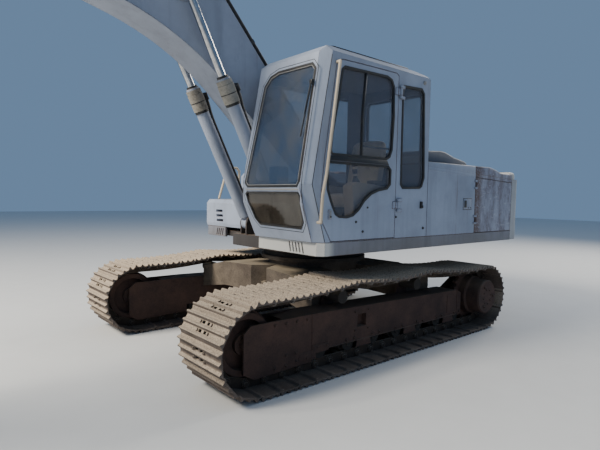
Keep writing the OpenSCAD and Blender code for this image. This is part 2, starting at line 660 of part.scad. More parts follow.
// Outline of a cylinder lug around pin p, standing h above its base
function lug_shape(p, h) = [[p[0] - h, p[1] - h], [p[0] - 70, p[1] - 10], [p[0] - 52, p[1] + 50],
    [p[0], p[1] + 72], [p[0] + 52, p[1] + 50], [p[0] + 72, p[1]], [p[0] + 72, p[1] - 110],
    [p[0] + 72 + h / 2, p[1] - h]];

// Boom: box section with a bend, boss at the foot and a fork at the tip
bend_top = [2550, 2556];
bend_low = [3138, 772];
fork_x = boom_tip[0] - 510;
module boom() {
    line = concat([[-38, 1764], [50, 1960], [200, 2172]], arc(bend_top, 1500, 138.3, 95, 12),
        [[boom_tip[0] + 8, 4240], [boom_tip[0] - 34, 3964]], arc(bend_low, 2600, 105, 130, 8), [[215, 1604]]);
    color("gainsboro") difference() {
        union() {
            plate(line, -boom_half, boom_half);
            bar(boom_foot, 150, -boom_half - 1, boom_half + 1);
            bar(boom_tip, 140, -boom_half - 15, boom_half + 15);
            both() bar(boom_eye, 95, boom_half - 1, boom_cyl_y - eye_half - seat_gap);
            // Lugs of the arm cylinder
            both() plate(lug_shape(crowd_foot, crowd_foot[1] - 4035), eye_half + 4, eye_half + 34);
            both() bar(crowd_foot, 72, eye_half + 2, eye_half + 40);
            bar(crowd_foot, 45, -eye_half - 45, eye_half + 45);
        }
        bar(boom_foot, 45 + pin_gap, -400, 400);
        // Fork for the arm
        plate([[fork_x, 3000], [6000, 3000], [6000, 5000], [fork_x, 5000]], -arm_half - pass_gap,
            arm_half + pass_gap);
    }
    color("gainsboro") {
        both() bar(boom_tip, 45, boom_half - 20, boom_half + 30);
        bar(boom_tip, 45, -boom_half - 30, boom_half + 30);
    }
}
pipe_z = 31;
back_start = polar(bend_top, 1500, 95);
function on_back(x) = 4240 + (x - boom_tip[0] - 8) * (4240 - back_start[1]) / (boom_tip[0] + 8 - back_start[0]);
module boom_pipes() {
    color("dimgray") both() {
        for (y = [107, 153]) rail([[405, y, 2493], [1405, y, 3614], [1546, y, 3764], [1812, y, 3952],
            [2078, y, 4062], [2430, y, on_back(2430) + pipe_z], [4300, y, on_back(4300) + pipe_z]], 20);
        // Clamps on the boom's back
        for (x = [3400, 4200]) plate([[x - 20, on_back(x - 20) + seat_gap], [x + 20, on_back(x + 20) + seat_gap],
            [x + 20, on_back(x) + 56], [x - 20, on_back(x) + 56]], 84, 176);
        for (s = [300, 1100]) swing([383, 2378], 48.07) translate([s, 0, 0])
            plate([[-20, 9], [20, 9], [20, 76], [-20, 76]], 84, 176);
    }
}
// Hydraulic cylinder, lying along +X from its foot pin: tube with gland, and rod with eye
module barrel(r, rod_r, len, eye_w) {
    difference() {
        union() {
            translate([99, 0, 0]) rotate([0, 90, 0]) cylinder(r = r, h = len - 99);
            translate([len - 105, 0, 0]) rotate([0, 90, 0]) cylinder(r = r + 8, h = 75);
            translate([30, 0, 0]) rotate([0, 90, 0]) cylinder(r = 40, h = 70);
            translate([78, 0, 0]) rotate([0, 90, 0]) cylinder(r1 = 42, r2 = r, h = 22);
            bar([0, 0], 74, -eye_w, eye_w);
        }
        bar([0, 0], 45 + pin_gap, -eye_w - 1, eye_w + 1);
        translate([130, 0, 0]) rotate([0, 90, 0]) cylinder(r = rod_r + pin_gap, h = len);
    }
}
module rod(rod_r, start, len, eye_w) {
    translate([start, 0, 0]) rotate([0, 90, 0]) cylinder(r = rod_r, h = len - start - 50);
    bar([0, 0] + [len, 0], 74, -eye_w, eye_w);
}
lift_len = reach(lift_foot, boom_eye);
lift_head = heading(lift_foot, boom_eye);
crowd_len = reach(crowd_foot, crowd_eye);
crowd_head = heading(crowd_foot, crowd_eye);
curl_len = reach(curl_foot, link_eye);
curl_head = heading(curl_foot, link_eye);
module boom_barrels() {
    color("darkgray") both() translate([0, boom_cyl_y, 0]) swing(lift_foot, lift_head) difference() {
        barrel(boom_tube_r, 42, 1653, eye_half);
    }
}
module boom_rods() {
    color("silver") both() translate([0, boom_cyl_y, 0]) swing(lift_foot, lift_head)
        rod(42, 900, lift_len, eye_half);
}
module arm_barrel() { color("darkgray") swing(crowd_foot, crowd_head) barrel(80, 48, 1830, eye_half); }
module arm_rod() { color("silver") swing(crowd_foot, crowd_head) rod(48, 1150, crowd_len, eye_half - 1); }
module bucket_barrel() { color("darkgray") swing(curl_foot, curl_head) barrel(68, 42, 1600, eye_half); }
module bucket_rod() { color("silver") swing(curl_foot, curl_head) rod(42, 800, curl_len, eye_half - 1); }

// Arm, drawn along +X from its pivot at the boom tip, with its back up
module arm() {
    e = [crowd_r * cos(crowd_back), crowd_r * sin(crowd_back)];
    h = curl_at;
    color("gainsboro") swing(boom_tip, arm_dir) difference() {
        union() {
            plate([[-60, -135], [300, -150], [arm_len - 520, -105], [arm_len - 40, -95], [arm_len - 40, 92],
                [arm_len - 470, 125], [700, 380],
                [200, 440], [-560, 520], [-800, 500], [-825, 400], [-720, 350], [-200, 20]],
                -arm_half, arm_half);
            bar([0, 0], 138, -arm_half, arm_half);
            bar([arm_len, 0], 105, -arm_half, arm_half);
            bar(e, 90, -arm_half, arm_half);
            both() plate(lug_shape(h, 150), eye_half + 4, eye_half + 34);
            both() bar(h, 72, eye_half + 2, eye_half + 40);
            bar(h, 45, -eye_half - 45, eye_half + 45);
            bar([arm_len - link_back, 40], 40, -arm_half - 84, arm_half + 84);
        }
        bar([0, 0], 45 + pin_gap, -400, 400);
        bar([arm_len, 0], 40 + pin_gap, -400, 400);
        // Slot for the eye of the arm cylinder
        plate([[-1000, 210], [-600, 210], [-520, 330], [-560, 700], [-1000, 700]], -eye_half - 4, eye_half + 4);
    }
}
link_y = [arm_half + 52, arm_half + 82];
leg_y = [eye_half + 8, arm_half];
module tipping_links() {
    g = link_pivot;
    color("darkgray") swing(g, heading(g, link_eye)) both() difference() {
        union() {
            plate([[0, -52], [tip_link, -45], [tip_link, 45], [0, 52]], link_y[0], link_y[1]);
            bar([0, 0], 72, link_y[0], link_y[1]);
            bar([tip_link, 0], 65, link_y[0], link_y[1]);
            // Half pins that carry the bucket link and leave room for the cylinder's eye
            bar([tip_link, 0], 36, leg_y[0] + 2, link_y[1] + 14);
        }
        bar([0, 0], 40 + pin_gap, 0, 400);
    }
}
// Link between tipping links and bucket, drawn along +X from the link eye
module bucket_link() {
    color("darkgray") swing(link_eye, heading(link_eye, bucket_ear)) difference() {
        union() {
            plate([[pull_link - 190, -60], [pull_link, -60], [pull_link, 60], [pull_link - 190, 60]],
                -arm_half, arm_half);
            bar([pull_link, 0], 72, -arm_half, arm_half);
            both() plate([[0, -50], [pull_link, -60], [pull_link, 60], [0, 50]], leg_y[0], leg_y[1]);
            both() bar([0, 0], 65, leg_y[0], leg_y[1]);
        }
        both() bar([0, 0], 36 + pin_gap, 0, 400);
    }
}
// Bucket, drawn from its pin with +X towards the teeth
bucket_outer = [[240, 40], [150, 560], [270, 690], [460, 748], [700, 705], [950, 590], [1170, 426], [1330, 234],
    [1392, 100], [1400, 20], [1330, 10]];
bucket_inner = [[262, 62], [176, 552], [285, 668], [460, 722], [690, 680], [935, 568], [1150, 408], [1306, 222],
    [1365, 96], [1500, -100], [262, -100]];
module bucket() {
    c = [ear_r * cos(ear_turn), ear_r * sin(ear_turn)];
    w = bucket_w / 2;
    ear = [arm_half + 6, arm_half + 44];
    color("darkslategray") swing(bucket_pin, tooth_dir) {
        difference() {
            union() {
                difference() {
                    plate(bucket_outer, -w, w);
                    plate(bucket_inner, -w + 25, w - 25);
                }
                both() {
                    plate([[230, 60], [200, -20], [0, -108], [-60, -70], c + [-80, 0], c + [-60, 60], c + [0, 88],
                        [200, 540]], ear[0], ear[1]);
                    bar([0, 0], 108, ear[0], ear[1]);
                    bar(c, 88, ear[0], ear[1]);
                }
                // Teeth on the lip
                for (k = [-2:2]) translate([0, k * (w - 55) / 2, 0])
                    plate([[1330, 90], [1400, 84], [1452, 0], [1395, 8], [1330, 30]], -45, 45);
                bar([0, 0], 40, -ear[1] - 20, ear[1] + 20);
                both() bar(c, 40, ear[0] - 5, ear[1] + 20);
                // Lifting eye on the back
                difference() {
                    plate([[190, 560], [110, 640], [110, 700], [160, 745], [220, 735], [320, 700]], -20, 20);
                    bar([165, 690], 25, -25, 25);
                }
            }
        }
    }
}

car_body();
slew_ring();
track_frame(1);  // track_frame_left
track_frame(-1);  // track_frame_right
at_track(1) track();  // track_left
at_track(-1) track();  // track_right
drive(1);  // drive_left
drive(-1);  // drive_right
idler(1);  // idler_left
idler(-1);  // idler_right
rollers(1);  // rollers_left
rollers(-1);  // rollers_right
main_frame();
side_skirts();
union() {
    cab_shell();
    color("gainsboro") hinge_posts();
}
cab_windows();
cab_door();
door_windows();
seat();
consoles();
left_housing();
left_rear_door();
right_tanks();
tool_box();
right_rear_door();
engine_bay();
engine();
radiator();
engine_hood();
exhaust();
counterweight();
swing_motor();
handrails();
boom();
boom_pipes();
boom_barrels();
boom_rods();
arm();
arm_barrel();
arm_rod();
bucket_barrel();
bucket_rod();
tipping_links();
bucket_link();
bucket();
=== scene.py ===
# %% [markdown]
# A crawler excavator stands parked on a pale studio floor. The exact model comes in as a frame
# of moving bodies, and everything made here rides on those bodies. We could model the whole
# machine again, but the frame already has the main forms, so this lesson adds what it lacks:
# finishes, track shoes, seals, glass trim, hoses, bolts, welds and the padded seat.

# %% Load the frame
import json
import math
import bmesh
import bpy
from mathutils import Matrix, Vector


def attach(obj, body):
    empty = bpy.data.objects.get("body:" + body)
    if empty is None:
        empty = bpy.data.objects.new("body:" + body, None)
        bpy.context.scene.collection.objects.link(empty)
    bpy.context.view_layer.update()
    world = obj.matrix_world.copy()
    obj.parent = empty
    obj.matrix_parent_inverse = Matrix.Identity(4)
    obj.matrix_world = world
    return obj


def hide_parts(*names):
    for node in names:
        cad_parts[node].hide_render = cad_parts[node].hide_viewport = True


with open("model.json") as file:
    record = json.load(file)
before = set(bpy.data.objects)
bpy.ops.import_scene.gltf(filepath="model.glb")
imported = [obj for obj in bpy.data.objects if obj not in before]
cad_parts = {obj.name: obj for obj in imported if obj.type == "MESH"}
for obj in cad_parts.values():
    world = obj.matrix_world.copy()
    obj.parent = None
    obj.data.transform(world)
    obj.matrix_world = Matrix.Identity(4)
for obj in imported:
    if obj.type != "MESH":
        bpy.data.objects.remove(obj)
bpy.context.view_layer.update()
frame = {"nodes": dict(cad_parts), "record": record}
scene = bpy.context.scene

# %% [markdown]
# The camera stands close to the front left corner at about eye height, looking slightly down,
# with a wide lens and a hint of roll. Those numbers were found by matching straight edges of
# the machine. A tracked empty could aim the camera too, but a matrix built from the three view
# directions also holds the roll.

# %% Camera
EYE = Vector((4.064, 4.4715, 1.607))
SENSOR_MM, FOCAL_PX, PICTURE_PX = 36, 481.8, 600
yaw, pitch, roll = (math.radians(a) for a in (-130.65, -3.39, 1.0))
ahead = Vector((math.cos(yaw) * math.cos(pitch), math.sin(yaw) * math.cos(pitch), math.sin(pitch)))
level = Vector((math.sin(yaw), -math.cos(yaw), 0))
over = level.cross(ahead)
right = math.cos(roll) * level + math.sin(roll) * over
over = math.cos(roll) * over - math.sin(roll) * level
lens_mm = SENSOR_MM * FOCAL_PX / PICTURE_PX
camera = bpy.data.objects.new("camera", bpy.data.cameras.new("camera"))
camera.data.lens = lens_mm
camera.data.clip_end = 200
camera.matrix_world = Matrix((right, over, -ahead)).transposed().to_4x4()
camera.location = EYE
scene.collection.objects.link(camera)
scene.camera = camera
print("lens", round(lens_mm, 2), "mm")

# %% [markdown]
# Plain light is best for judging shapes: one wide, warm key lamp high over the front of the
# machine, where the sun stood, a weak cool fill from the left, which is the shaded side, and an even
# blue sky. Many small lamps would give spotty highlights on the curved boom.

# %% Floor and lights
def as_mesh(shape, name):
    mesh = bpy.data.meshes.new(name)
    shape.to_mesh(mesh)
    shape.free()
    return mesh


def lamp(name, place, aim, size, watts, colour):
    data = bpy.data.lights.new(name, "AREA")
    data.shape, data.size, data.energy, data.color = "DISK", size, watts, colour
    thing = bpy.data.objects.new(name, data)
    thing.location = place
    thing.rotation_euler = (Vector(aim) - Vector(place)).to_track_quat("-Z", "Y").to_euler()
    scene.collection.objects.link(thing)


lamp("key", (11.3, -2.2, 9.8), (0, 0, 1.5), 5, 3350, (1.0, 0.93, 0.80))
lamp("fill", (5, 13, 8), (0, 0, 1.5), 9, 110, (0.76, 0.88, 1.0))
lamp("back", (-13, 1, 9), (0, 0, 1), 6, 1300, (1.0, 0.94, 0.84))
sky = bpy.data.worlds.new("sky")
sky.use_nodes = True
sky.node_tree.nodes["Background"].inputs["Color"].default_value = (0.38, 0.62, 1.0, 1)
sky.node_tree.nodes["Background"].inputs["Strength"].default_value = 0.37
scene.world = sky
FLOOR_HALF = 40
shape = bmesh.new()
bmesh.ops.create_grid(shape, x_segments=1, y_segments=1, size=FLOOR_HALF)
floor = bpy.data.objects.new("floor", as_mesh(shape, "floor"))
scene.collection.objects.link(floor)

# %% [markdown]
# A finish is a small network of shader nodes. Wiring it by hand is slow to read, so a Wire wraps
# an output socket, and plain sums of Wires add the Math nodes. A Board holds one material and
# has a single method that adds any other node.

# %% Shader words
class Wire:
    def __init__(self, board, socket):
        self.board, self.socket = board, socket

    def sum_of(self, operation, *values):
        return self.board.node("ShaderNodeMath", {"operation": operation}, dict(enumerate(values)))

    def __add__(self, other): return self.sum_of("ADD", self, other)
    def __radd__(self, other): return self.sum_of("ADD", other, self)
    def __sub__(self, other): return self.sum_of("SUBTRACT", self, other)
    def __rsub__(self, other): return self.sum_of("SUBTRACT", other, self)
    def __mul__(self, other): return self.sum_of("MULTIPLY", self, other)
    def __rmul__(self, other): return self.sum_of("MULTIPLY", other, self)


class Board:
    def __init__(self, name):
        self.material = bpy.data.materials.new(name)
        self.material.use_nodes = True
        self.tree = self.material.node_tree
        self.shader = self.tree.nodes["Principled BSDF"]

    def feed(self, socket, value):
        if isinstance(value, Wire):
            self.tree.links.new(value.socket, socket)
        elif isinstance(value, tuple) and len(value) == 3 and socket.type == "RGBA":
            socket.default_value = (*value, 1)
        else:
            socket.default_value = value

    def node(self, kind, settings, sockets, output=0):
        made = self.tree.nodes.new(kind)
        for key, value in settings.items():
            setattr(made, key, value)
        for key, value in sockets.items():
            self.feed(made.inputs[key], value)
        return Wire(self, made.outputs[output])

    def place(self, stretch=(1, 1, 1)):
        at = self.node("ShaderNodeTexCoord", {}, {}, "Object")
        return self.node("ShaderNodeMapping", {}, {"Vector": at, "Scale": stretch})

    def cloud(self, scale, detail=4, stretch=(1, 1, 1), rough=0.55):
        return self.node("ShaderNodeTexNoise", {}, {"Vector": self.place(stretch), "Scale": scale,
                         "Detail": detail, "Roughness": rough}, "Fac")

    def ruler(self, axis):
        at = self.node("ShaderNodeTexCoord", {}, {}, "Object")
        return self.node("ShaderNodeSeparateXYZ", {}, {"Vector": at}, axis)

    def hollow_shade(self):
        """One inside the cab's hollow, nothing outside: a product of distances to its walls."""
        x, y, z = (self.ruler(axis) for axis in "XYZ")
        corner = x.sum_of("MINIMUM", 1.345 - (z - 1.770) * 0.1835, 1.350 - (1.700 - z) * 0.3197)
        walls = (x + 0.379, corner - x + 1.27 - y, 1.299 - (x + 0.178 * (z - 1.77)),
                 1.213 - (x - 0.4 * (z - 1.29)),
                 y - 0.443, 1.3265 - y, z - 1.236, 2.8905 - z)
        share = 1.0
        for wall in walls:
            share = self.step(wall, 0, 0.002) * share
        return share

    def facing(self, axis="Z"):
        normal = self.node("ShaderNodeNewGeometry", {}, {}, "Normal")
        return self.node("ShaderNodeSeparateXYZ", {}, {"Vector": normal}, axis)

    def step(self, value, low, high):
        return self.node("ShaderNodeMapRange", {"clamp": True}, {"Value": value, "From Min": low,
                         "From Max": high})

    def tint(self, share, under, on_top):
        return self.node("ShaderNodeMix", {"data_type": "RGBA"}, {"Factor": share, 6: under, 7: on_top}, 2)

    def edges(self, radius):
        soft = self.node("ShaderNodeBevel", {"samples": 4}, {"Radius": radius})
        flat = self.node("ShaderNodeNewGeometry", {}, {}, "Normal")
        same = self.node("ShaderNodeVectorMath", {"operation": "DOT_PRODUCT"}, {0: soft, 1: flat}, "Value")
        return soft, self.step(1 - same, 0.01, 0.3)

    def bump(self, height, strength, distance=0.01, normal=None):
        sockets = {"Height": height, "Strength": strength, "Distance": distance}
        if normal:
            sockets["Normal"] = normal
        return self.node("ShaderNodeBump", {}, sockets)

    def finish(self, **values):
        for key, value in values.items():
            self.feed(self.shader.inputs[key.replace("_", " ")], value)
        return self.material


# %% [markdown]
# The machine's paint is an old light grey. It has gone chalky, dust has settled on what faces up
# and low down, rain has drawn thin streaks, and corners are chipped down to rust. The corner mask
# comes from the Bevel node: where its softened normal differs from the flat one, there is an edge.
# An image could hold all this too, but noise in object space has no seams and no size limit.

# %% Paint
RUST = (0.115, 0.048, 0.022)
DUST = (0.33, 0.27, 0.19)


GLOSS, CHIP_EDGE = 0.42, 0.010
DIRTY_WATER, MUD = (0.15, 0.095, 0.065), (0.17, 0.145, 0.115)
BRUISE, BARE_SCRATCH = (0.135, 0.115, 0.14), (0.46, 0.48, 0.52)


def paint(name, colour, chips, grime, low=1.2, stain=0.0, hollow_shade=False, sunlit_front=None):
    """Mud reaches up to the height low; the front colour is a painted highlight, a sunlit cream laid on the
    part's front end.
    """
    b = Board(name)
    soft, corner = b.edges(CHIP_EDGE)
    patch = b.cloud(1.3, 6, rough=0.62)
    fine = b.cloud(55, 5)
    streak = b.cloud(7, 5, (1, 1, 0.10))
    shade = tuple(c * 0.72 for c in colour)
    skin = b.tint(b.step(patch, 0.35, 0.68), colour, shade)
    skin = b.tint(b.step(streak, 0.50, 0.74) * (grime * 0.9), skin, tuple(c * 0.55 for c in colour))
    drip = b.step(b.cloud(26, 4, (1, 1, 0.035), 0.6), 0.60, 0.72) * b.step(patch, 0.45, 0.62)
    skin = b.tint(drip * grime, skin, DIRTY_WATER)
    scuff = b.step(b.cloud(9, 7, (1, 1, 0.5), 0.7), 0.58, 0.70)
    skin = b.tint(scuff * (0.35 * grime + 0.1), skin, tuple(c * 0.62 for c in colour))
    settled = b.step(b.facing() + patch * 0.6, 0.95, 1.5) * (0.35 + 0.5 * grime)
    skin = b.tint(settled, skin, DUST)
    splash = b.step(low - b.ruler("Z") + (patch - 0.5) * 0.8, 0.0, 0.55) * (0.8 * grime)
    skin = b.tint(splash, skin, MUD)
    # Painted sunlight: the front end of the part turns a bright cream.
    if sunlit_front:
        skin = b.tint(b.step(b.ruler("X"), 0.98, 1.06) * b.step(b.ruler("Y"), 0.42, 0.44) * 0.8, skin, sunlit_front)
    worn = b.step(corner * 0.55 + b.cloud(16, 6, rough=0.7), 0.93 - 0.28 * chips, 1.0 - 0.22 * chips)
    if stain:
        blotch = b.step(b.cloud(6.5, 10, (1, 1, 0.45), 0.78), 0.45, 0.58) * stain
        skin = b.tint(blotch * 0.85, skin, BRUISE)
        rub = b.step(b.cloud(22, 8, (1, 1, 0.3), 0.78), 0.57, 0.65)
        skin = b.tint(rub * stain * 0.7, skin, (0.12, 0.07, 0.055))
        skin = b.tint(b.step(b.cloud(34, 6, (0.25, 1, 1), 0.6), 0.62, 0.68) * 0.6, skin, BARE_SCRATCH)
        front = b.step(b.ruler("X") + 1.56 + 0.1 * patch, 0.0, 0.10) * stain
        skin = b.tint(front * b.step(fine, 0.30, 0.55), skin, (0.10, 0.055, 0.04))
    skin = b.tint(worn, skin, b.tint(fine, RUST, (0.20, 0.085, 0.035)))
    # Painted shade: inside the cab's hollow the paint turns a dark blue-grey, standing for the dim light
    # there.
    if hollow_shade:
        skin = b.tint(b.hollow_shade(), skin, b.tint(fine, (0.085, 0.090, 0.115), (0.12, 0.125, 0.15)))
    rough = 0.93 * worn + (1 - worn) * (GLOSS + 0.25 * patch)
    bump = b.bump(fine * 0.25 + worn * -0.6 + scuff * 0.1, 0.35, 0.003, soft)
    return b.finish(Base_Color=skin, Roughness=rough, Normal=bump)


# This grey's blue cast is partly the paint's own tint and partly painted skylight: it stands for the blue
# shade on the machine's unlit side.
PAINT_AND_SKYLIGHT_TONE = (0.335, 0.385, 0.485)
PAINTS = {"body_paint": ("old_grey_paint", PAINT_AND_SKYLIGHT_TONE, 0.45, 0.5),
          "cab_paint": ("cab_paint_grey_shaded_inside", PAINT_AND_SKYLIGHT_TONE, 0.42, 0.4, 1.2, 0, True),
          "boom_paint": ("boom_grey_paint", (0.315, 0.355, 0.445), 0.40, 0.6, 0.6),
          "counterweight_paint": ("chalky_grey_paint", (0.42, 0.43, 0.44), 0.5, 0.45),
          "stained_paint": ("scuffed_door_paint", (0.33, 0.355, 0.44), 0.6, 0.6, 1.3, 0.9),
          "skirt_paint": ("skirt_paint_dusty_sunlit_front", (0.205, 0.21, 0.24), 0.6, 0.8, 1.3, 0, False,
                          (0.66, 0.65, 0.60)),
          "sunlit_top_paint": ("sunlit_pale_crown_paint", (0.60, 0.585, 0.53), 0.4, 0.3),
          "slate_paint": ("slate_hood_paint", (0.105, 0.12, 0.15), 0.4, 0.5),
          "rail_paint": ("tan_rail_paint", (0.56, 0.47, 0.35), 0.4, 0.35, 0.5),
          # The frame's near-black stands for the shade under the deck: painted shade.
          "frame_paint": ("frame_paint_shade_black", (0.050, 0.044, 0.042), 0.6, 0.4, 1.0)}
FINISH = {look: paint(*values) for look, values in PAINTS.items()}
print(len(FINISH), "paints")

# %% [markdown]
# Below the deck everything is bare steel gone dark brown, with dust on what faces up; the rust of the track
# frames is darkened further as painted shade. The shoes are worn sandy by the ground on their ribs and stay
# dark between them, and their sand also stands for sunlight on what faces up and forward. One recipe with
# two colours, a dust amount and a polish covers all of these.

# %% Bare metal
WORN_SUNLIT_TAN, GROUND_STEEL, METAL_GRAIN = (0.50, 0.40, 0.295), (0.42, 0.38, 0.33), 24


def bare(name, dark, light, dust, polish, metal=0.0, rub_and_sunlight=0.0):
    b = Board(name)
    soft, corner = b.edges(0.006)
    patch = b.cloud(3.1, 7, rough=0.65)
    fine = b.cloud(METAL_GRAIN * 3, 5, rough=0.65)
    skin = b.tint(b.step(patch * 0.7 + fine * 0.3, 0.36, 0.64), dark, light)
    skin = b.tint(b.step(b.cloud(METAL_GRAIN, 7, rough=0.75), 0.55, 0.68) * 0.55, skin,
                  tuple(c * 0.45 for c in dark))
    settled = b.step(b.facing() * 0.75 + patch * 0.8, 0.55, 1.25) * dust
    skin = b.tint(settled, skin, DUST)
    if rub_and_sunlight:
        # The sandy crown is partly real wear and partly painted sunlight: it favours faces turned up and to
        # the front, where the lamp shines, and stays off the low run, which lies in shade.
        crown = b.step(b.facing() + b.facing("X") * 0.5, 0.40, 0.85) * b.step(fine, 0.25, 0.55)
        crown = crown * b.step(b.ruler("Z"), 0.13, 0.30)
        skin = b.tint(crown * rub_and_sunlight, skin, WORN_SUNLIT_TAN)
    bright = corner * polish
    skin = b.tint(bright, skin, GROUND_STEEL)
    rough = 0.88 - 0.45 * bright
    bump = b.bump(fine * 0.6 + patch * 0.4, 0.5, 0.004, soft)
    return b.finish(Base_Color=skin, Roughness=rough, Metallic=bright * 0.8 + metal, Normal=bump)


# Painted shade: the brown rust is darkened to stand for the deep shade along the track frames.
METALS = {"rusty_steel": ("shade_darkened_rust", (0.030, 0.017, 0.014), (0.088, 0.046, 0.033), 0.30, 0.08),
          "dark_steel": ("oily_steel", (0.012, 0.011, 0.010), (0.036, 0.030, 0.026), 0.35, 0.2),
          "shoe_steel": ("shoe_steel_sand_and_sunlight", (0.055, 0.038, 0.030), (0.150, 0.118, 0.098), 0.10, 0.35,
                         0.0, 0.9),
          "chain_steel": ("greasy_chain_steel", (0.018, 0.013, 0.010), (0.055, 0.036, 0.024), 0.4, 0.4),
          "worn_steel": ("worn_bucket_steel", (0.055, 0.045, 0.038), (0.17, 0.15, 0.13), 0.4, 0.7, 0.25),
          "engine_iron": ("engine_iron", (0.04, 0.042, 0.045), (0.10, 0.10, 0.10), 0.3, 0.3),
          "cast_steel": ("cylinder_head_steel", (0.17, 0.15, 0.125), (0.36, 0.34, 0.29), 0.4, 0.3),
          "dusty_iron": ("dusty_car_body", (0.055, 0.040, 0.030), (0.17, 0.135, 0.10), 0.8, 0.1)}
FINISH |= {look: bare(*values) for look, values in METALS.items()}
print(len(METALS), "bare metals")


# %% [markdown]
# Rods are ground and chromed, so they stay bright, but a thin film of dusty oil dulls them in
# bands. Rubber, moulded plastic and glass need less: one noise for colour, one for bump. The
# panes are thin, so a see-through skin with a share of dirt is enough; real refraction in both
# faces of a thin pane costs time and shows nothing more.

# %% Chrome, rubber, plastic and glass
def plain(name, colour, rough, grain, bump, dust, metal=0.0):
    b = Board(name)
    soft, corner = b.edges(0.003)
    patch = b.cloud(6, 6, rough=0.65)
    fine = b.cloud(grain, 4)
    skin = b.tint(b.step(fine, 0.3, 0.7), colour, tuple(c * 0.72 for c in colour))
    skin = b.tint(b.step(patch, 0.5, 0.72) * dust, skin, DUST)
    return b.finish(Base_Color=skin, Roughness=rough + 0.25 * b.step(patch, 0.5, 0.75), Metallic=metal,
                    Normal=b.bump(fine, bump, 0.002, soft))


PLAINS = {"chrome": ("hard_chrome", (0.50, 0.51, 0.53), 0.16, 30, 0.03, 0.14, 1.0),
          "black_rubber": ("black_rubber", (0.018, 0.018, 0.019), 0.55, 90, 0.2, 0.14),
          "black_paint": ("black_paint", (0.022, 0.022, 0.023), 0.38, 70, 0.12, 0.12),
          "interior_plastic": ("tan_plastic", (0.50, 0.41, 0.29), 0.55, 180, 0.35, 0.15),
          "dark_plastic": ("dark_plastic", (0.045, 0.045, 0.047), 0.5, 180, 0.3, 0.2),
          "headliner": ("roof_lining", (0.13, 0.135, 0.17), 0.9, 240, 0.4, 0.05),
          "pale_trim": ("pale_window_trim", (0.34, 0.33, 0.32), 0.4, 60, 0.1, 0.2)}
FINISH |= {look: plain(*values) for look, values in PLAINS.items()}


def pane(name, tone, clear, dirt, windscreen_sky_reflection, front_clear):
    """Side panes are clear; the windscreen's two panes get a deeper blue, a painted sky reflection."""
    b = Board(name)
    front = b.step(b.ruler("X"), 1.12, 1.125) * b.step(b.ruler("Y"), 0.435, 0.44)
    film = b.step(b.cloud(4, 7, (1, 1, 0.6), 0.68), 0.40, 0.75)
    wiped = b.step(b.cloud(40, 5), 0.4, 0.8)
    low = front * b.step(1.67 - b.ruler("Z"), 0, 0.02)
    skin = b.tint(low, b.tint(front, tone, windscreen_sky_reflection), (0.042, 0.035, 0.028))
    skin = b.tint(film * (0.7 - 0.5 * low), skin, (0.16, 0.15, 0.13))
    run = b.step(b.cloud(11, 5, (1, 1, 0.06), 0.65), 0.50, 0.72) * low
    skin = b.tint(run * 0.35, skin, (0.15, 0.13, 0.10))
    see = clear + (front_clear - clear) * front + dirt * film + 0.02 * wiped + 0.22 * low
    return b.finish(Base_Color=skin, Roughness=0.03 + 0.14 * film, Alpha=see, Coat_Weight=0.3)


FINISH["window_glass"] = pane("window_glass", (0.16, 0.18, 0.24), 0.26, 0.10, (0.060, 0.095, 0.165), 0.50)
print(len(FINISH), "finishes so far")

# %% [markdown]
# The seat cloth is a tan weave: two crossed wave patterns give the threads, and their product
# drives both colour and bump. The floor of the studio is matt and almost white.

# %% Cloth and floor
def cloth(name, colour):
    b = Board(name)
    at = b.place((1, 1, 1))
    warp = b.node("ShaderNodeTexWave", {"bands_direction": "X"}, {"Vector": at, "Scale": 190.0}, "Fac")
    weft = b.node("ShaderNodeTexWave", {"bands_direction": "Z"}, {"Vector": at, "Scale": 190.0}, "Fac")
    patch = b.cloud(9, 6)
    weave = warp * weft
    skin = b.tint(weave, tuple(c * 0.7 for c in colour), colour)
    skin = b.tint(b.step(patch, 0.5, 0.75) * 0.5, skin, (0.10, 0.08, 0.06))
    return b.finish(Base_Color=skin, Roughness=0.92, Sheen_Weight=0.3, Normal=b.bump(weave, 0.5, 0.002))


FINISH["seat_cloth"] = cloth("tan_seat_cloth", (0.75, 0.62, 0.42))
b = Board("studio_floor")
grain = b.cloud(3, 5)
floor.data.materials.append(b.finish(Base_Color=b.tint(grain, (0.60, 0.60, 0.59), (0.66, 0.66, 0.65)),
                                     Roughness=0.8, Normal=b.bump(b.cloud(60, 4), 0.08, 0.004)))

# %% [markdown]
# Every solid of the frame that stays in view gets its finish by its own slot. A few carry a darker or
# brighter skin than their slot, such as the slewing platform's floor, whose near-black paint is painted
# shade for the dark under the deck.

# %% Dress the frame's own solids
SPECIAL = {"boom": "boom_paint", "cab_shell": "cab_paint", "arm": "boom_paint", "main_frame": "frame_paint",
           "drive_left": "rusty_steel", "drive_right": "rusty_steel", "track_left": "shoe_steel",
           "track_right": "shoe_steel", "boom_barrels": "boom_paint", "arm_barrel": "boom_paint",
           "bucket_barrel": "boom_paint", "side_skirts": "skirt_paint", "car_body": "dusty_iron",
           "swing_motor": "dark_steel"}
ALIAS = {"dusty_steel": "shoe_steel"}
for part in frame["record"]["subparts"]:
    node = frame["nodes"][part["node"]]
    look = SPECIAL.get(part["node"], part["material_slot"])
    node.data.materials.clear()
    node.data.materials.append(FINISH[ALIAS.get(look, look)])

# %% [markdown]
# All new pieces end the same way: outward normals, smooth faces that break at sharp angles, a finish and a
# body to ride on. One function does that.

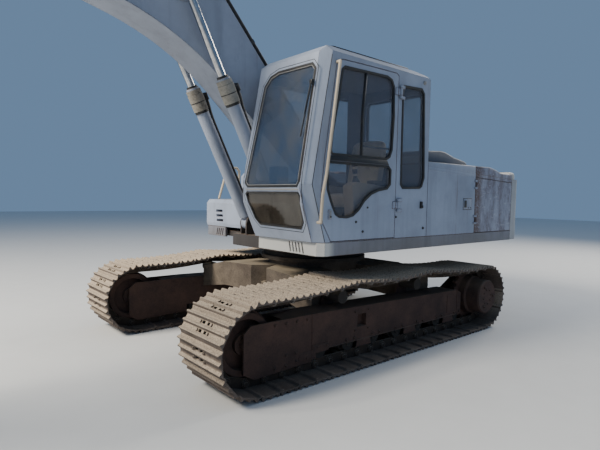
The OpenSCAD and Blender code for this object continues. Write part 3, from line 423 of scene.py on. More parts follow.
# %% Finish a piece
def settle(name, shape, look, body="upperstructure", angle=35, merge=0.00002):
    bmesh.ops.remove_doubles(shape, verts=shape.verts, dist=merge)
    bmesh.ops.recalc_face_normals(shape, faces=shape.faces)
    mesh = as_mesh(shape, name)
    mesh.polygons.foreach_set("use_smooth", [True] * len(mesh.polygons))
    mesh.set_sharp_from_angle(angle=math.radians(angle))
    piece = bpy.data.objects.new(name, mesh)
    mesh.materials.append(FINISH[look])
    scene.collection.objects.link(piece)
    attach(piece, body)
    print(name, "rides on", body, "with", len(mesh.polygons), "faces")
    return piece


def spot(x, y, z, turn=None):
    return Matrix.Translation((x, y, z)) @ (turn or Matrix.Identity(4))


def turn(axis, degrees):
    return Matrix.Rotation(math.radians(degrees), 4, axis)


def push(shape, faces, vec, keep=False):
    """Extrudes faces and moves them by vec; gives the moved points and faces."""
    out = bmesh.ops.extrude_face_region(shape, geom=faces, use_keep_orig=keep)["geom"]
    verts = [g for g in out if isinstance(g, bmesh.types.BMVert)]
    bmesh.ops.translate(shape, verts=verts, vec=vec)
    return verts, [g for g in out if isinstance(g, bmesh.types.BMFace)]


def soften(shape, edges, amount, segments=2):
    bmesh.ops.bevel(shape, geom=edges, offset=amount, segments=segments, profile=0.5, affect="EDGES",
                    material=-1)


def drum(shape, at, radius, depth, sides=24, tip=None):
    """A round bar centred on at, along at's own Z."""
    bmesh.ops.create_cone(shape, cap_ends=True, segments=sides, radius1=radius,
                          radius2=radius if tip is None else tip, depth=depth, matrix=at)


def block(shape, at, size, round_off=0.0):
    verts = bmesh.ops.create_cube(shape, size=1, matrix=at @ Matrix.Diagonal((*size, 1)))["verts"]
    if round_off:
        soften(shape, list({e for v in verts for e in v.link_edges}), round_off)


def slab(shape, points, low, high, axis="y", round_off=0.0):
    """An outline of (x, z) points with a thickness along Y, or of (y, z) points along X."""
    if axis == "y":
        verts = [shape.verts.new((x, low, z)) for x, z in points]
    else:
        verts = [shape.verts.new((low, y, z)) for y, z in points]
    step = Vector((0, high - low, 0)) if axis == "y" else Vector((high - low, 0, 0))
    moved = push(shape, [shape.faces.new(verts)], step)[0]
    if round_off:
        soften(shape, list({e for v in verts + moved for e in v.link_edges}), round_off)


def panel(shape, x0, x1, z0, z1, low, high, round_off=0.0):
    """An upright rectangle with a thickness along Y."""
    slab(shape, ((x0, z0), (x1, z0), (x1, z1), (x0, z1)), low, high, round_off=round_off)


# %% [markdown]
# A bolt head is a six-sided drum on a washer. There are hundreds, so each has only a few dozen faces, and
# they are built into the mesh of the piece that carries them.

# %% Bolts
def bolt(shape, at, size=0.012, washer=True):
    """A hexagon head that stands on at and points along at's own Z."""
    if washer:
        drum(shape, at @ spot(0, 0, size * 0.12), size * 1.25, size * 0.24, 14)
    drum(shape, at @ spot(0, 0, size * 0.6), size, size * 0.8, 6)
    drum(shape, at @ spot(0, 0, size * 1.04), size * 0.85, size * 0.12, 6, size * 0.7)


def bolt_ring(shape, centre, radius, count, size, start=0.0):
    for k in range(count):
        a = start + k * math.tau / count
        bolt(shape, centre @ spot(radius * math.cos(a), radius * math.sin(a), 0), size)


# %% [markdown]
# Hoses and pipes are tubes along a smooth curve. A bevelled curve is the quickest way: it is
# turned to a mesh at once, so that its place is in its mesh as with every other piece.

# %% Tubes
def tube(shape, points, radius, sides=10, steps=6, round_corners=True):
    curve = bpy.data.curves.new("path", "CURVE")
    curve.dimensions = "3D"
    line = curve.splines.new("NURBS" if round_corners else "POLY")
    line.points.add(len(points) - 1)
    for p, q in zip(line.points, points):
        p.co = (*q, 1)
    if round_corners:
        line.order_u = 3
        line.use_endpoint_u = True
        line.resolution_u = steps
    curve.bevel_depth = radius
    curve.bevel_resolution = max(1, sides // 4)
    curve.use_fill_caps = True
    holder = bpy.data.objects.new("path", curve)
    mesh = bpy.data.meshes.new_from_object(holder)
    shape.from_mesh(mesh)
    bpy.data.objects.remove(holder)
    bpy.data.curves.remove(curve)
    bpy.data.meshes.remove(mesh)


# %% [markdown]
# The tracks are what the eye meets first. Each track is a chain of 47 links under 47 shoes. A
# shoe is a rolled plate with three ribs, two mud holes between the rails, four bolts and a lip that
# reaches under the next shoe, so that no gap opens where the track bends. The
# frame holds each track as one smooth loop; here every shoe, link and bushing is laid along the
# same path: level on the ground, round the drive, back over two carrier rollers with a little
# sag, and round the idler. An Array on a curve would bend the shoes, so each is set by matrix.

# %% Track path
GAUGE, SPAN, TRACK_AHEAD, PIN_R, SHOES = 2.38, 3.48, 0.15, 0.322, 47
SHOE_TOP, SHOE_W, RAIL_H, CARRIER_LIFT = 0.078, 0.65, 0.046, 0.055
FRONT_X, REAR_X, HUB_Z = TRACK_AHEAD + SPAN / 2, TRACK_AHEAD - SPAN / 2, PIN_R + SHOE_TOP
CARRIERS = (-0.4, 0.78)
ARC = math.pi * PIN_R
PITCH = (2 * SPAN + 2 * ARC) / SHOES
SAGS = ((REAR_X, 0, CARRIERS[0], CARRIER_LIFT, 0.03),
        (CARRIERS[0], CARRIER_LIFT, CARRIERS[1], CARRIER_LIFT, 0.035),
        (CARRIERS[1], CARRIER_LIFT, FRONT_X, 0, 0.025))


def run_lift(x):
    for x0, z0, x1, z1, sag in SAGS:
        if x0 - 1e-5 <= x <= x1 + 1e-5:
            t = (x - x0) / (x1 - x0)
            return z0 + (z1 - z0) * t - sag * 4 * t * (1 - t)


def chain(s):
    s %= 2 * SPAN + 2 * ARC
    if s < SPAN:
        return Vector((FRONT_X - s, 0, SHOE_TOP))
    if s < SPAN + ARC:
        a = math.radians(270) - (s - SPAN) / PIN_R
        return Vector((REAR_X + PIN_R * math.cos(a), 0, HUB_Z + PIN_R * math.sin(a)))
    if s < 2 * SPAN + ARC:
        x = REAR_X + s - SPAN - ARC
        return Vector((x, 0, HUB_Z + PIN_R + run_lift(x)))
    a = math.radians(90) - (s - 2 * SPAN - ARC) / PIN_R
    return Vector((FRONT_X + PIN_R * math.cos(a), 0, HUB_Z + PIN_R * math.sin(a)))


def shoe_seat(i, y):
    """A matrix at pin i: its X runs along the shoe and its Z points away from the loop."""
    p, q = chain(i * PITCH), chain((i + 1) * PITCH)
    along = (q - p).normalized()
    out = Vector((-along.z, 0, along.x))
    grid = Matrix((along, out.cross(along), out)).transposed().to_4x4()
    return Matrix.Translation((p.x, y, p.z)) @ grid


# %% Shoe and link shapes
RIBS = ((0.045, -0.020), (0.07, -0.004), (0.09, 0), (0.13, 0), (0.15, -0.004), (0.22, -0.0205),
        (0.25, -0.022), (0.37, -0.022), (0.40, -0.0205), (0.46, -0.004), (0.475, 0), (0.525, 0),
        (0.54, -0.004), (0.60, -0.0205), (0.63, -0.022), (0.75, -0.022), (0.78, -0.0205), (0.85, -0.004),
        (0.87, 0), (0.91, 0), (0.93, -0.004), (0.955, -0.022), (0.99, -0.028),
        (1.06, -0.044), (1.17, -0.046))
SEAT_W = -0.034


def one_shoe(shape, at):
    known = set(shape.faces)
    top = [(u * PITCH, SHOE_TOP + w) for u, w in RIBS]
    low = [(u * PITCH, SHOE_TOP + w) for u, w in ((1.17, -0.053), (1.05, -0.052), (0.97, SEAT_W))]
    low += [(u * PITCH, SHOE_TOP + SEAT_W) for u in (0.75, 0.63, 0.37, 0.25, 0.045)]
    rims = (-SHOE_W / 2, -0.058, -0.018, 0.018, 0.058, SHOE_W / 2)
    loop = [shape.verts.new(at @ Vector((x, rims[0], z))) for x, z in top + low]
    faces = [shape.faces.new(loop)]
    for y0, y1 in zip(rims, rims[1:]):
        faces = push(shape, faces, at.to_3x3() @ Vector((0, y1 - y0, 0)))[1]
    inverse = at.inverted()
    for u in (0.31, 0.69):
        for v in (-0.038, 0.038):
            pair = [f for f in set(shape.faces) - known if len(f.verts) == 4
                    and abs((c := inverse @ f.calc_center_median()).x - u * PITCH) < 0.003
                    and abs(c.y - v) < 0.005 and abs(c.z - SHOE_TOP) > 0.01]
            ring = [e for f in pair for e in f.edges]
            bmesh.ops.delete(shape, geom=pair, context="FACES_ONLY")
            bmesh.ops.bridge_loops(shape, edges=ring)


def one_link(shape, at, side):
    """Rail plate, pin boss and half of the bushing on one side of the chain."""
    inner, outer = sorted((side * 0.070, side * 0.090))
    rail = ((-0.10, -0.030), (0.0, -RAIL_H + 0.001), (1.0, -RAIL_H + 0.001), (1.10, -0.030), (1.14, 0.0),
            (1.06, 0.030), (0.85, 0.043), (0.15, 0.043), (-0.06, 0.030), (-0.14, 0.0))
    points = [(u * PITCH, w) for u, w in rail]
    verts = [shape.verts.new(at @ Vector((x, inner, z))) for x, z in points]
    push(shape, [shape.faces.new(verts)], at.to_3x3() @ Vector((0, outer - inner, 0)))
    drum(shape, at @ spot(0, side * 0.098, 0, turn("X", 90)), 0.036, 0.020, 14)
    drum(shape, at @ spot(0, side * 0.111, 0, turn("X", 90)), 0.019, 0.012, 12)


for side, name in ((1, "left"), (-1, "right")):
    y = side * GAUGE / 2
    shoes, links = bmesh.new(), bmesh.new()
    for i in range(SHOES):
        at = shoe_seat(i, y)
        one_shoe(shoes, at)
        for u in (0.31, 0.69):
            for v in (-0.082, 0.082):
                drum(shoes, at @ spot(u * PITCH, v, SHOE_TOP - 0.0155), 0.0135, 0.013, 6)
        for v in (-1, 1):
            one_link(links, at, v)
        drum(links, at @ spot(0, 0, 0, turn("X", 90)), 0.029, 0.138, 14)
    shoe_piece = settle("track_shoes_" + name, shoes, "shoe_steel", "undercarriage", 30, 1e-6)
    settle("track_chain_" + name, links, "chain_steel", "undercarriage", 30, 1e-6)
    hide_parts("track_" + name)
    print(name, "track:", len(shoe_piece.data.polygons), "faces in its shoes")

# %% [markdown]
# Bolt circles make the final drives read as machinery: the cover's ring of bolts, the drain plugs, and the
# bolts that hold the toothed ring. The track frame has roller bolts along its lower edge and a bolted cover
# over the track adjuster.

# %% Undercarriage fasteners
FIRST_ROLLER, ROLLER_STEP, FRAME_FACE = TRACK_AHEAD - 1.31, 0.372, 0.14
shape = bmesh.new()
for side in (1, -1):
    y = side * GAUGE / 2
    face = y + side * FRAME_FACE
    out = turn("X", -90 * side)
    bolt_ring(shape, spot(REAR_X, y + side * 0.2845, HUB_Z) @ out, 0.175, 16, 0.012)
    bolt_ring(shape, spot(REAR_X, y + side * 0.3, HUB_Z) @ out, 0.09, 8, 0.010, 0.2)
    for a in (60, 180, 300):
        c, s = math.cos(math.radians(a)) * 0.14, math.sin(math.radians(a)) * 0.14
        bolt(shape, spot(REAR_X + c, y + side * 0.3, HUB_Z + s) @ out, 0.016)
    for k in range(8):
        for dx in (-0.055, 0.055):
            bolt(shape, spot(FIRST_ROLLER + k * ROLLER_STEP + dx, face, 0.245) @ out, 0.013)
    for x, z in ((0.45, 0.315), (0.638, 0.315), (0.45, 0.5), (0.638, 0.5)):
        bolt(shape, spot(x, face, z) @ out, 0.011)
    for x in (1.26, 1.38, 1.50, 1.62):
        for z in (0.52, 0.155 if x > 1.4 else 0.17):
            bolt(shape, spot(x, face, z) @ out, 0.012)
settle("undercarriage_bolts", shape, "rusty_steel", "undercarriage")

# %% [markdown]
# Weld beads close the seams where plates meet. A bead is a thin wavy tube laid in the corner; a
# bump map alone would vanish against the light.

# %% Undercarriage welds and plates
def bead(shape, points, radius=0.006, wave=0.0016):
    line = [Vector(p) for p in points]
    path, gap = [], 0.011
    for p, q in zip(line, line[1:]):
        count = max(2, int((q - p).length / gap))
        path += [p.lerp(q, k / count) + Vector((0, 0, wave * (k % 2))) for k in range(count)]
    tube(shape, path + [line[-1]], radius, 6, 1, False)


shape = bmesh.new()
for side in (1, -1):
    y = side * (GAUGE / 2 + 0.1405)
    bead(shape, ((1.20, y, 0.14), (1.20, y, 0.552)))
    bead(shape, ((-1.16, y, 0.222), (-1.16, y, 0.508)))
    bead(shape, ((-1.15, y, 0.2155), (1.19, y, 0.2155)), 0.005)
settle("undercarriage_welds", shape, "rusty_steel", "undercarriage", 60)
shape = bmesh.new()
for side in (1, -1):
    y = side * (GAUGE / 2 + FRAME_FACE)
    slab(shape, ((-1.13, 0.255), (-0.95, 0.255), (-0.95, 0.47), (-1.13, 0.455)), y, y + side * 0.006)
    panel(shape, 1.0, 1.19, 0.20, 0.27, y, y + side * 0.008)
    for k in range(4):
        x = FIRST_ROLLER + (2 * k + 0.5) * ROLLER_STEP
        slab(shape, ((x - 0.11, 0.15), (x + 0.11, 0.15), (x + 0.09, 0.225), (x - 0.09, 0.225)),
             y - side * 0.006, y + side * 0.004, round_off=0.002)
settle("undercarriage_plates", shape, "rusty_steel", "undercarriage")

# %% [markdown]
# Rubber seals hold the panes, so the windows' outlines come first, in millimetres: points of
# (x, z) for the side windows and of (y, z) for those that face forward or back.

# %% Window outlines
DOOR_GLASS = ((940, 2758), (900, 2790), (300, 2805), (225, 2780), (190, 2720), (176, 2423), (196, 2085),
              (230, 2010), (290, 1980), (1040, 1980), (1070, 2010), (1051, 2184), (984, 2487))
DOOR_LOW = ((1075, 1930), (250, 1930), (205, 1890), (208, 1740), (260, 1692), (387, 1673), (496, 1636),
            (590, 1570), (668, 1483), (746, 1430), (835, 1412), (940, 1420), (990, 1450), (1053, 1567),
            (1095, 1669), (1098, 1900))
REAR_GLASS = ((40, 2755), (-270, 2770), (-318, 2720), (-358, 1830), (-320, 1735), (-280, 1712), (20, 1703),
              (58, 1745), (62, 2730))
RIGHT_GLASS = ((900, 2760), (-280, 2760), (-320, 2720), (-350, 1800), (-310, 1750), (1180, 1750),
               (1215, 1800), (1060, 2720))
SCREEN = ((500, 1688), (455, 1730), (535, 2690), (610, 2775), (730, 2808), (1225, 2800), (1284, 2740),
          (1292, 1735), (1262, 1688))
LOW_SCREEN = ((482, 1648), (458, 1625), (520, 1385), (575, 1322), (1200, 1312), (1262, 1380), (1290, 1615),
              (1270, 1648))
BACK_SCREEN = ((520, 1980), (480, 2020), (480, 2700), (520, 2740), (1240, 2740), (1280, 2700),
               (1280, 2020), (1240, 1980))
UPPER, CAB_IN = 1.37, 0.4
print(len(SCREEN), "points round the windscreen")

# %% [markdown]
# The cab's front leans back above and tucks in below. One function gives its depth for a height,
# and the others lay points and bands on it. The band of a seal is a face of its outline's shape:
# inset gives the band, the middle is removed, and an extrusion gives it height.

# %% Bands on the cab
def upright(y):
    """Places an outline of (x, z) at depth y."""
    return lambda p, q: Vector((p / 1000, y, q / 1000))


def crosswise(x_at):
    """Places an outline of (y, z) where x_at gives the depth for a height."""
    return lambda p, q: Vector((x_at(q / 1000), p / 1000, q / 1000))


def front_line(z):
    """The cab's front, as x for a height z: it leans back above and tucks in below."""
    marks = ((1.197, 1.190), (1.290, 1.228), (1.545, 1.330), (1.70, 1.350), (1.77, 1.345), (2.89, 1.140))
    for (z0, x0), (z1, x1) in zip(marks, marks[1:]):
        if z <= z1:
            return x0 + (x1 - x0) * (z - z0) / (z1 - z0)
    return 1.140


def offset(outline, d):
    """The outline moved outwards by d, with mitred corners."""
    points = [Vector(p) for p in outline]
    area = sum(p.x * q.y - q.x * p.y for p, q in zip(points, points[1:] + points[:1]))
    made = []
    for p, q, r in zip(points[-1:] + points[:-1], points, points[1:] + points[:1]):
        a, b = (q - p).normalized(), (r - q).normalized()
        mid = (Vector((a.y, -a.x)) + Vector((b.y, -b.x))) / (1 + a.dot(b))
        made.append(tuple(q + mid * (d if area > 0 else -d)))
    return made


def on_front(y, z, out):
    """A point on the cab's bent front, in millimetres, pushed out by out metres."""
    x = front_line(z / 1000)
    lean = math.atan2(front_line(z / 1000 + 0.01) - front_line(z / 1000 - 0.01), 0.02)
    return Vector((x + out * math.cos(lean), y / 1000, z / 1000 - out * math.sin(lean)))


def rim(shape, outline, wide, narrow, low, high):
    """A band between two offsets of an outline, laid on the cab's bent front."""
    fine = []
    for p, q in zip(outline, outline[1:] + outline[:1]):
        count = max(1, round(math.dist(p, q) / 60))
        fine += [tuple(a + (b - a) * k / count for a, b in zip(p, q)) for k in range(count)]
    rings = [[shape.verts.new(on_front(*p, lift)) for p in offset(fine, d)]
             for d, lift in ((wide, low), (wide, high), (narrow, high), (narrow, low))]
    for a, b in zip(rings, rings[1:] + rings[:1]):
        for k in range(len(a)):
            n = (k + 1) % len(a)
            shape.faces.new((a[k], a[n], b[n], b[k]))


def seal(shape, outline, put, out, width, height, sink):
    """A band of rubber along an outline, from sink below the wall's face to height above it."""
    part = bmesh.new()
    face = part.faces.new([part.verts.new(put(*p)) for p in outline])
    face.normal_update()
    normal = face.normal * (1 if face.normal.dot(Vector(out)) > 0 else -1)
    band = bmesh.ops.inset_region(part, faces=[face], thickness=width, use_boundary=True,
                                  use_even_offset=True)["faces"]
    bmesh.ops.delete(part, geom=[face], context="FACES_ONLY")
    bmesh.ops.translate(part, verts=part.verts, vec=-normal * sink)
    push(part, band, normal * (height + sink), True)
    mesh = as_mesh(part, "part")
    shape.from_mesh(mesh)
    bpy.data.meshes.remove(mesh)


def seals(name, jobs, body, look="black_rubber"):
    shape = bmesh.new()
    for outline, put, out, width, height, sink in jobs:
        seal(shape, outline, put, out, width / 1000, height / 1000, sink / 1000)
    return settle(name, shape, look, body, 40)


# %% [markdown]
# The five fixed panes and the door's two panes get their seals, and a thin rubber line closes the
# gap round the door.

# %% Window seals
DOOR_LINE = ((126, 1201), (1037, 1201), (1140, 1369), (1168, 1560), (1160, 1720), (1128, 1990), (1040, 2560),
             (1008, 2780), (980, 2822), (930, 2844), (663, 2851), (160, 2857), (120, 2835))
LEFT, RIGHT, AHEAD, REAR = (0, 1, 0), (0, -1, 0), (1, 0, 0), (-1, 0, 0)
seals("cab_seals", ((REAR_GLASS, upright(UPPER), LEFT, 22, 6, 12),
                    (RIGHT_GLASS, upright(CAB_IN), RIGHT, 22, 0.5, 12),
                    (SCREEN, crosswise(front_line), AHEAD, 20, 5, 12),
                    (LOW_SCREEN, crosswise(front_line), AHEAD, 14, 5, 12),
                    (BACK_SCREEN, crosswise(lambda z: -0.422), REAR, 22, 6, 12)), "upperstructure")
seals("door_seals", ((DOOR_GLASS, upright(UPPER), LEFT, 22, 5, 12),
                     (DOOR_LOW, upright(UPPER), LEFT, 22, 5, 12)), "cab_door")
seals("door_frame_seal", ((DOOR_LINE, upright(UPPER - 0.012), LEFT, 4, 0, 20),), "upperstructure")

# %% [markdown]
# Both front panes stand in one pressed frame. A thin dark line marks its outer edge, a pale strip
# runs inside the rubber, and a pale rail parts the panes. The post beside it has a crease where
# its bevel meets the side wall. These follow the bent front, so each point is laid on it.

# %% Windscreen frame
FRAME = SCREEN[1:8] + LOW_SCREEN[6:7] + LOW_SCREEN[5:0:-1]


def crease(z):
    """The rear edge of the front post's bevel, as x for a height z."""
    return min(1.345 - (z - 1.770) * 0.1835, 1.350 - (1.700 - z) * 0.3197) - 0.0835


shape = bmesh.new()
rim(shape, FRAME, 29, 23.5, -0.001, 0.0012)
# The thin black tube along the post's crease is painted shade in the crease.
tube(shape, [(crease(z), UPPER, z) for z in (1.205, 1.5, 1.715, 1.9, 2.4, 2.86)], 0.0032, 8, 1, False)
settle("screen_seam_and_crease_shade", shape, "black_rubber", angle=60)
shape = bmesh.new()
rim(shape, SCREEN, -20.5, -26, -0.010, 0.001)
slab(shape, ((0.476, 1.6615), (1.276, 1.6615), (1.276, 1.6745), (0.476, 1.6745)), 1.335, 1.3505, "x", 0.001)
settle("screen_trim", shape, "pale_trim", angle=60)

# %% [markdown]
# The door's upper window slides, so it has a bar down the middle, a grab bar inside and a rail
# below. The door also has a latch handle on a pale plate, a few bolts, and a catch on the cab
# behind it that holds the open door.

# %% Door trim
shape = bmesh.new()
slab(shape, ((0.586, 2.79), (0.606, 2.79), (0.645, 2.37), (0.647, 1.985), (0.627, 1.985), (0.625, 2.37)),
     UPPER - 0.030, UPPER - 0.004, round_off=0.003)
slab(shape, ((0.245, 1.934), (1.075, 1.934), (1.062, 1.978), (0.275, 1.978)), UPPER - 0.001, UPPER + 0.0045,
     round_off=0.002)
panel(shape, 0.20, 0.62, 2.105, 2.090, UPPER - 0.044, UPPER - 0.028)
settle("door_window_bars", shape, "black_paint", "cab_door")
shape = bmesh.new()
panel(shape, 1.047, 1.069, 1.415, 1.485, UPPER + 0.013, UPPER + 0.019, 0.003)
settle("door_handle_plate", shape, "pale_trim", "cab_door")
shape = bmesh.new()
drum(shape, spot(1.058, UPPER + 0.021, 1.43, turn("X", 90)), 0.008, 0.010, 16)
for x, z, size in ((0.707, 1.376, 0.010), (0.611, 1.282, 0.010), (0.548, 1.512, 0.008),
                   (0.112, 1.414, 0.010)):
    bolt(shape, spot(x, UPPER, z) @ turn("X", -90), size)
settle("door_handle", shape, "dark_plastic", "cab_door")
shape = bmesh.new()
block(shape, spot(-0.306, UPPER + 0.010, 1.538), (0.030, 0.022, 0.075), 0.004)
block(shape, spot(-0.306, UPPER + 0.026, 1.520), (0.018, 0.016, 0.030), 0.003)
bolt(shape, spot(-0.358, UPPER, 1.288) @ turn("X", -90), 0.012)
for z in (1.514, 1.562):
    bolt(shape, spot(-0.306, UPPER + 0.021, z) @ turn("X", -90), 0.006)
settle("door_catch", shape, "black_paint")

# %% [markdown]
# The windscreen frame carries a wiper: an arm from a small motor high on the left post, and a blade that
# lies along the glass's left edge. A rubber strip and a marker sit on the roof, and thin black boards behind
# the slots at the front of the deck paint the shade inside them.

# %% Wiper
def on_screen(y, z, out):
    lean = math.atan2(0.205, 1.12)
    return Vector((front_line(z) + out * math.cos(lean), y, z + out * math.sin(lean)))


def by_edge(z, inset):
    """How far left the wiper lies at a height, just inside the glass's left edge."""
    return 1.284 + (z - 2.498) * 0.0676 - inset


shape = bmesh.new()
tube(shape, [on_screen(by_edge(z, 0.018), z, 0.030) for z in (2.60, 2.45, 2.33)], 0.006, 8, 4)
tube(shape, [on_screen(by_edge(z, 0.030), z, 0.014) for z in (2.58, 2.35, 2.13)], 0.0065, 8, 4)
tube(shape, [on_screen(by_edge(2.33, 0.018), 2.33, 0.030), on_screen(by_edge(2.34, 0.030), 2.34, 0.016)],
     0.005, 8, 4)
block(shape, spot(*on_screen(by_edge(2.61, 0.018), 2.61, 0.018)), (0.034, 0.034, 0.04), 0.006)
settle("windscreen_wiper", shape, "black_paint")

# %% Roof edge, marker and slot boards
shape = bmesh.new()
strip = ((-0.12, 0.50), (-0.09, 0.47), (0.99, 0.47), (1.02, 0.50), (1.02, 1.28), (0.99, 1.31),
         (-0.09, 1.31), (-0.12, 1.28), (-0.12, 0.50))
tube(shape, [(x, y, 2.9535) for x, y in strip], 0.0065, 8, 1, False)
settle("roof_strip", shape, "black_rubber", angle=60)
shape = bmesh.new()
drum(shape, spot(-0.311, UPPER + 0.004, 2.833, turn("X", 90)), 0.022, 0.010, 20)
drum(shape, spot(-0.311, UPPER + 0.012, 2.833, turn("X", 90)), 0.014, 0.010, 20, 0.008)
settle("roof_marker", shape, "pale_trim")
shape = bmesh.new()
# Painted shade: the black boards stand for the shade inside the slots.
for x, y in ((1.1272, 1), (0.7092, -1)):
    block(shape, spot(x - 0.0015, y * 1.0125, 1.132), (0.002, 0.20, 0.11), 0.0004)
block(shape, spot(1.1578, 1.127, 1.132) @ turn("X", 15), (0.002, 0.015, 0.105), 0.0004)
settle("slot_shade_boards", shape, "black_paint")

# %% [markdown]
# Inside the cab are the linings, a ribbed mat, the levers with rubber gaiters, and the pedals.

# %% Cab inside
FLOOR_Z, MID_Y = 1.237, 0.885
shape = bmesh.new()
panel(shape, -0.36, -0.10, 1.75, 2.80, CAB_IN + 0.047, CAB_IN + 0.060, 0.003)
settle("corner_lining", shape, "headliner")
shape = bmesh.new()
slab(shape, ((-0.36, 2.865), (-0.30, 2.880), (1.03, 2.880), (1.075, 2.84), (1.03, 2.835), (-0.30, 2.84)),
     CAB_IN + 0.05, UPPER - 0.05, round_off=0.004)
settle("roof_lining", shape, "headliner")
shape = bmesh.new()
panel(shape, 0.62, 1.13, FLOOR_Z + 0.001, FLOOR_Z + 0.008, CAB_IN + 0.05, UPPER - 0.05)
for k in range(12):
    x = 0.66 + 0.04 * k
    slab(shape, ((x, FLOOR_Z + 0.007), (x + 0.014, FLOOR_Z + 0.007), (x + 0.012, FLOOR_Z + 0.012),
                 (x + 0.002, FLOOR_Z + 0.012)), CAB_IN + 0.07, UPPER - 0.07)
settle("floor_mat", shape, "black_rubber")
shape = bmesh.new()
for side in (1, -1):
    x, y = 0.555, MID_Y + side * 0.34
    for k in range(5):
        drum(shape, spot(x + 0.004 * k, y, FLOOR_Z + 0.507 + 0.016 * k), 0.052 - 0.007 * k, 0.018, 18,
             0.044 - 0.007 * k)
    lever = Matrix.Translation((0.586, y, FLOOR_Z + 0.66)) @ turn("Y", 8)
    drum(shape, lever @ spot(0, 0, 0.0), 0.024, 0.12, 16, 0.030)
    bmesh.ops.create_uvsphere(shape, u_segments=16, v_segments=8, radius=0.031,
                              matrix=lever @ spot(0, 0, 0.058))
for y in (-0.09, 0.09):
    block(shape, spot(0.905, MID_Y + y, FLOOR_Z + 0.035) @ turn("Y", 12), (0.19, 0.085, 0.012), 0.004)
    for k in range(4):
        drum(shape, spot(0.972 + 0.002 * k, MID_Y + y, FLOOR_Z + 0.03 + 0.014 * k), 0.034 - 0.005 * k,
             0.015, 16)
    block(shape, spot(0.845, MID_Y + y, FLOOR_Z + 0.575), (0.028, 0.03, 0.10), 0.010)
settle("levers_and_pedals", shape, "black_rubber")

# %% Console details
shape = bmesh.new()
for side in (1, -1):
    y = MID_Y + side * 0.3375
    slab(shape, ((-0.03, FLOOR_Z + 0.475), (0.35, FLOOR_Z + 0.500), (0.35, FLOOR_Z + 0.545),
                 (0.0, FLOOR_Z + 0.53)),
         y - 0.05, y + 0.05, round_off=0.012)
block(shape, spot(0.98, CAB_IN + 0.13, 1.80), (0.16, 0.14, 0.22), 0.02)
block(shape, spot(0.99, CAB_IN + 0.09, 1.46), (0.10, 0.06, 0.50), 0.01)
settle("console_pads", shape, "dark_plastic", "upperstructure")

# %% [markdown]
# The seat is upholstered: a cushion and a back with a crown, sides drawn in between the corners,
# and a sewn channel. A cloth simulation could puff them up; behind glass and at this size a
# subdivided block whose points are pushed out by a smooth bulge gives the same form in no time.

# %% Seat
def cushion(name, at, size, bulge, channels=0):
    shape = bmesh.new()
    bmesh.ops.create_cube(shape, size=1)
    bmesh.ops.subdivide_edges(shape, edges=list(shape.edges), cuts=9, use_grid_fill=True)
    sx, sy, sz = size
    for v in shape.verts:
        x, y, z = v.co * 2
        crown = (1 - x ** 4) * (1 - y ** 4)
        waist = 1 - 0.05 * (1 - x * x) * (1 - z * z)
        corner = 1 - 0.06 * abs(x * y) ** 3 - 0.05 * abs(y * z) ** 3 - 0.05 * abs(x * z) ** 3
        seam = 0.0
        if channels and z > 0.9:
            seam = 0.012 * math.exp(-((abs(y) - 0.55) / 0.06) ** 2)
        v.co = Vector((x * sx / 2 * corner, y * sy / 2 * waist * corner,
                       z * sz / 2 * corner + (bulge * crown - seam if z > 0.5 else 0)))
    bmesh.ops.smooth_vert(shape, verts=shape.verts, factor=0.4, use_axis_x=True, use_axis_y=True,
                          use_axis_z=True)
    bmesh.ops.transform(shape, matrix=at, verts=shape.verts)
    piece = settle(name, shape, "seat_cloth", "upperstructure", 80)
    rounding = piece.modifiers.new("rounding", "SUBSURF")
    rounding.levels = rounding.render_levels = 1
    return piece


base = cushion("seat_cushion", spot(0.31, MID_Y, FLOOR_Z + 0.325), (0.56, 0.49, 0.13), 0.022, 1)
cushion("seat_back", spot(0.035, MID_Y, FLOOR_Z + 0.70) @ turn("Y", 80), (0.58, 0.46, 0.10), 0.020, 1)
shape = bmesh.new()
block(shape, spot(0.30, MID_Y, FLOOR_Z + 0.13), (0.46, 0.26, 0.255), 0.012)
block(shape, spot(0.30, MID_Y, FLOOR_Z + 0.262), (0.54, 0.44, 0.02), 0.006)
for k in range(6):
    block(shape, spot(0.30, MID_Y, FLOOR_Z + 0.03 + 0.038 * k), (0.49, 0.29, 0.012), 0.004)
settle("seat_stand", shape, "black_rubber")
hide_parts("seat")

# %% [markdown]
# Seams and latches tell the panels apart. The housing's access panel gets a flush plate with a
# pull latch, a seal around it and two bolts.

# %% Panel trim
shape = bmesh.new()
panel(shape, -1.348, -1.162, 1.487, 1.613, UPPER - 0.001, UPPER + 0.003, 0.001)
settle("panel_plate", shape, "body_paint", "upperstructure")
shape = bmesh.new()
panel(shape, -1.232, -1.180, 1.508, 1.594, UPPER + 0.002, UPPER + 0.006, 0.001)
seal(shape, ((-1354, 1481), (-1156, 1481), (-1156, 1619), (-1354, 1619)), upright(UPPER), LEFT,
     0.005, 0.001, 0.001)
for x in (-1.32, -1.27):
    bolt(shape, spot(x, UPPER + 0.002, 1.505) @ turn("X", -90), 0.006)
settle("panel_latch", shape, "black_paint", "upperstructure")

# %% [markdown]
# The photograph shows the housing's edge rising clear of the hood, a dark raised cover over the
# front of the engine bay, and a pale crown on the counterweight. They sit on the frame's roof.

# %% Raised roof
def roof(x):
    """The height of the frame's roof over the rear housing."""
    return 1.962 + (x + 0.431) * 0.042


CAB_END, HOUSING_END, BAY_FRONT, BAY_END = -0.430, -1.421, -1.425, -2.356
EDGE_TOP = ((BAY_END, 1.951), (-2.05, 1.953), (-1.94, 1.985), (-1.80, 2.012), (-1.74, 2.017),
            (CAB_END, 2.010))


def height_at(marks, x):
    for (x0, z0), (x1, z1) in zip(marks, marks[1:]):
        if x <= x1:
            return z0 + (z1 - z0) * (x - x0) / (x1 - x0)


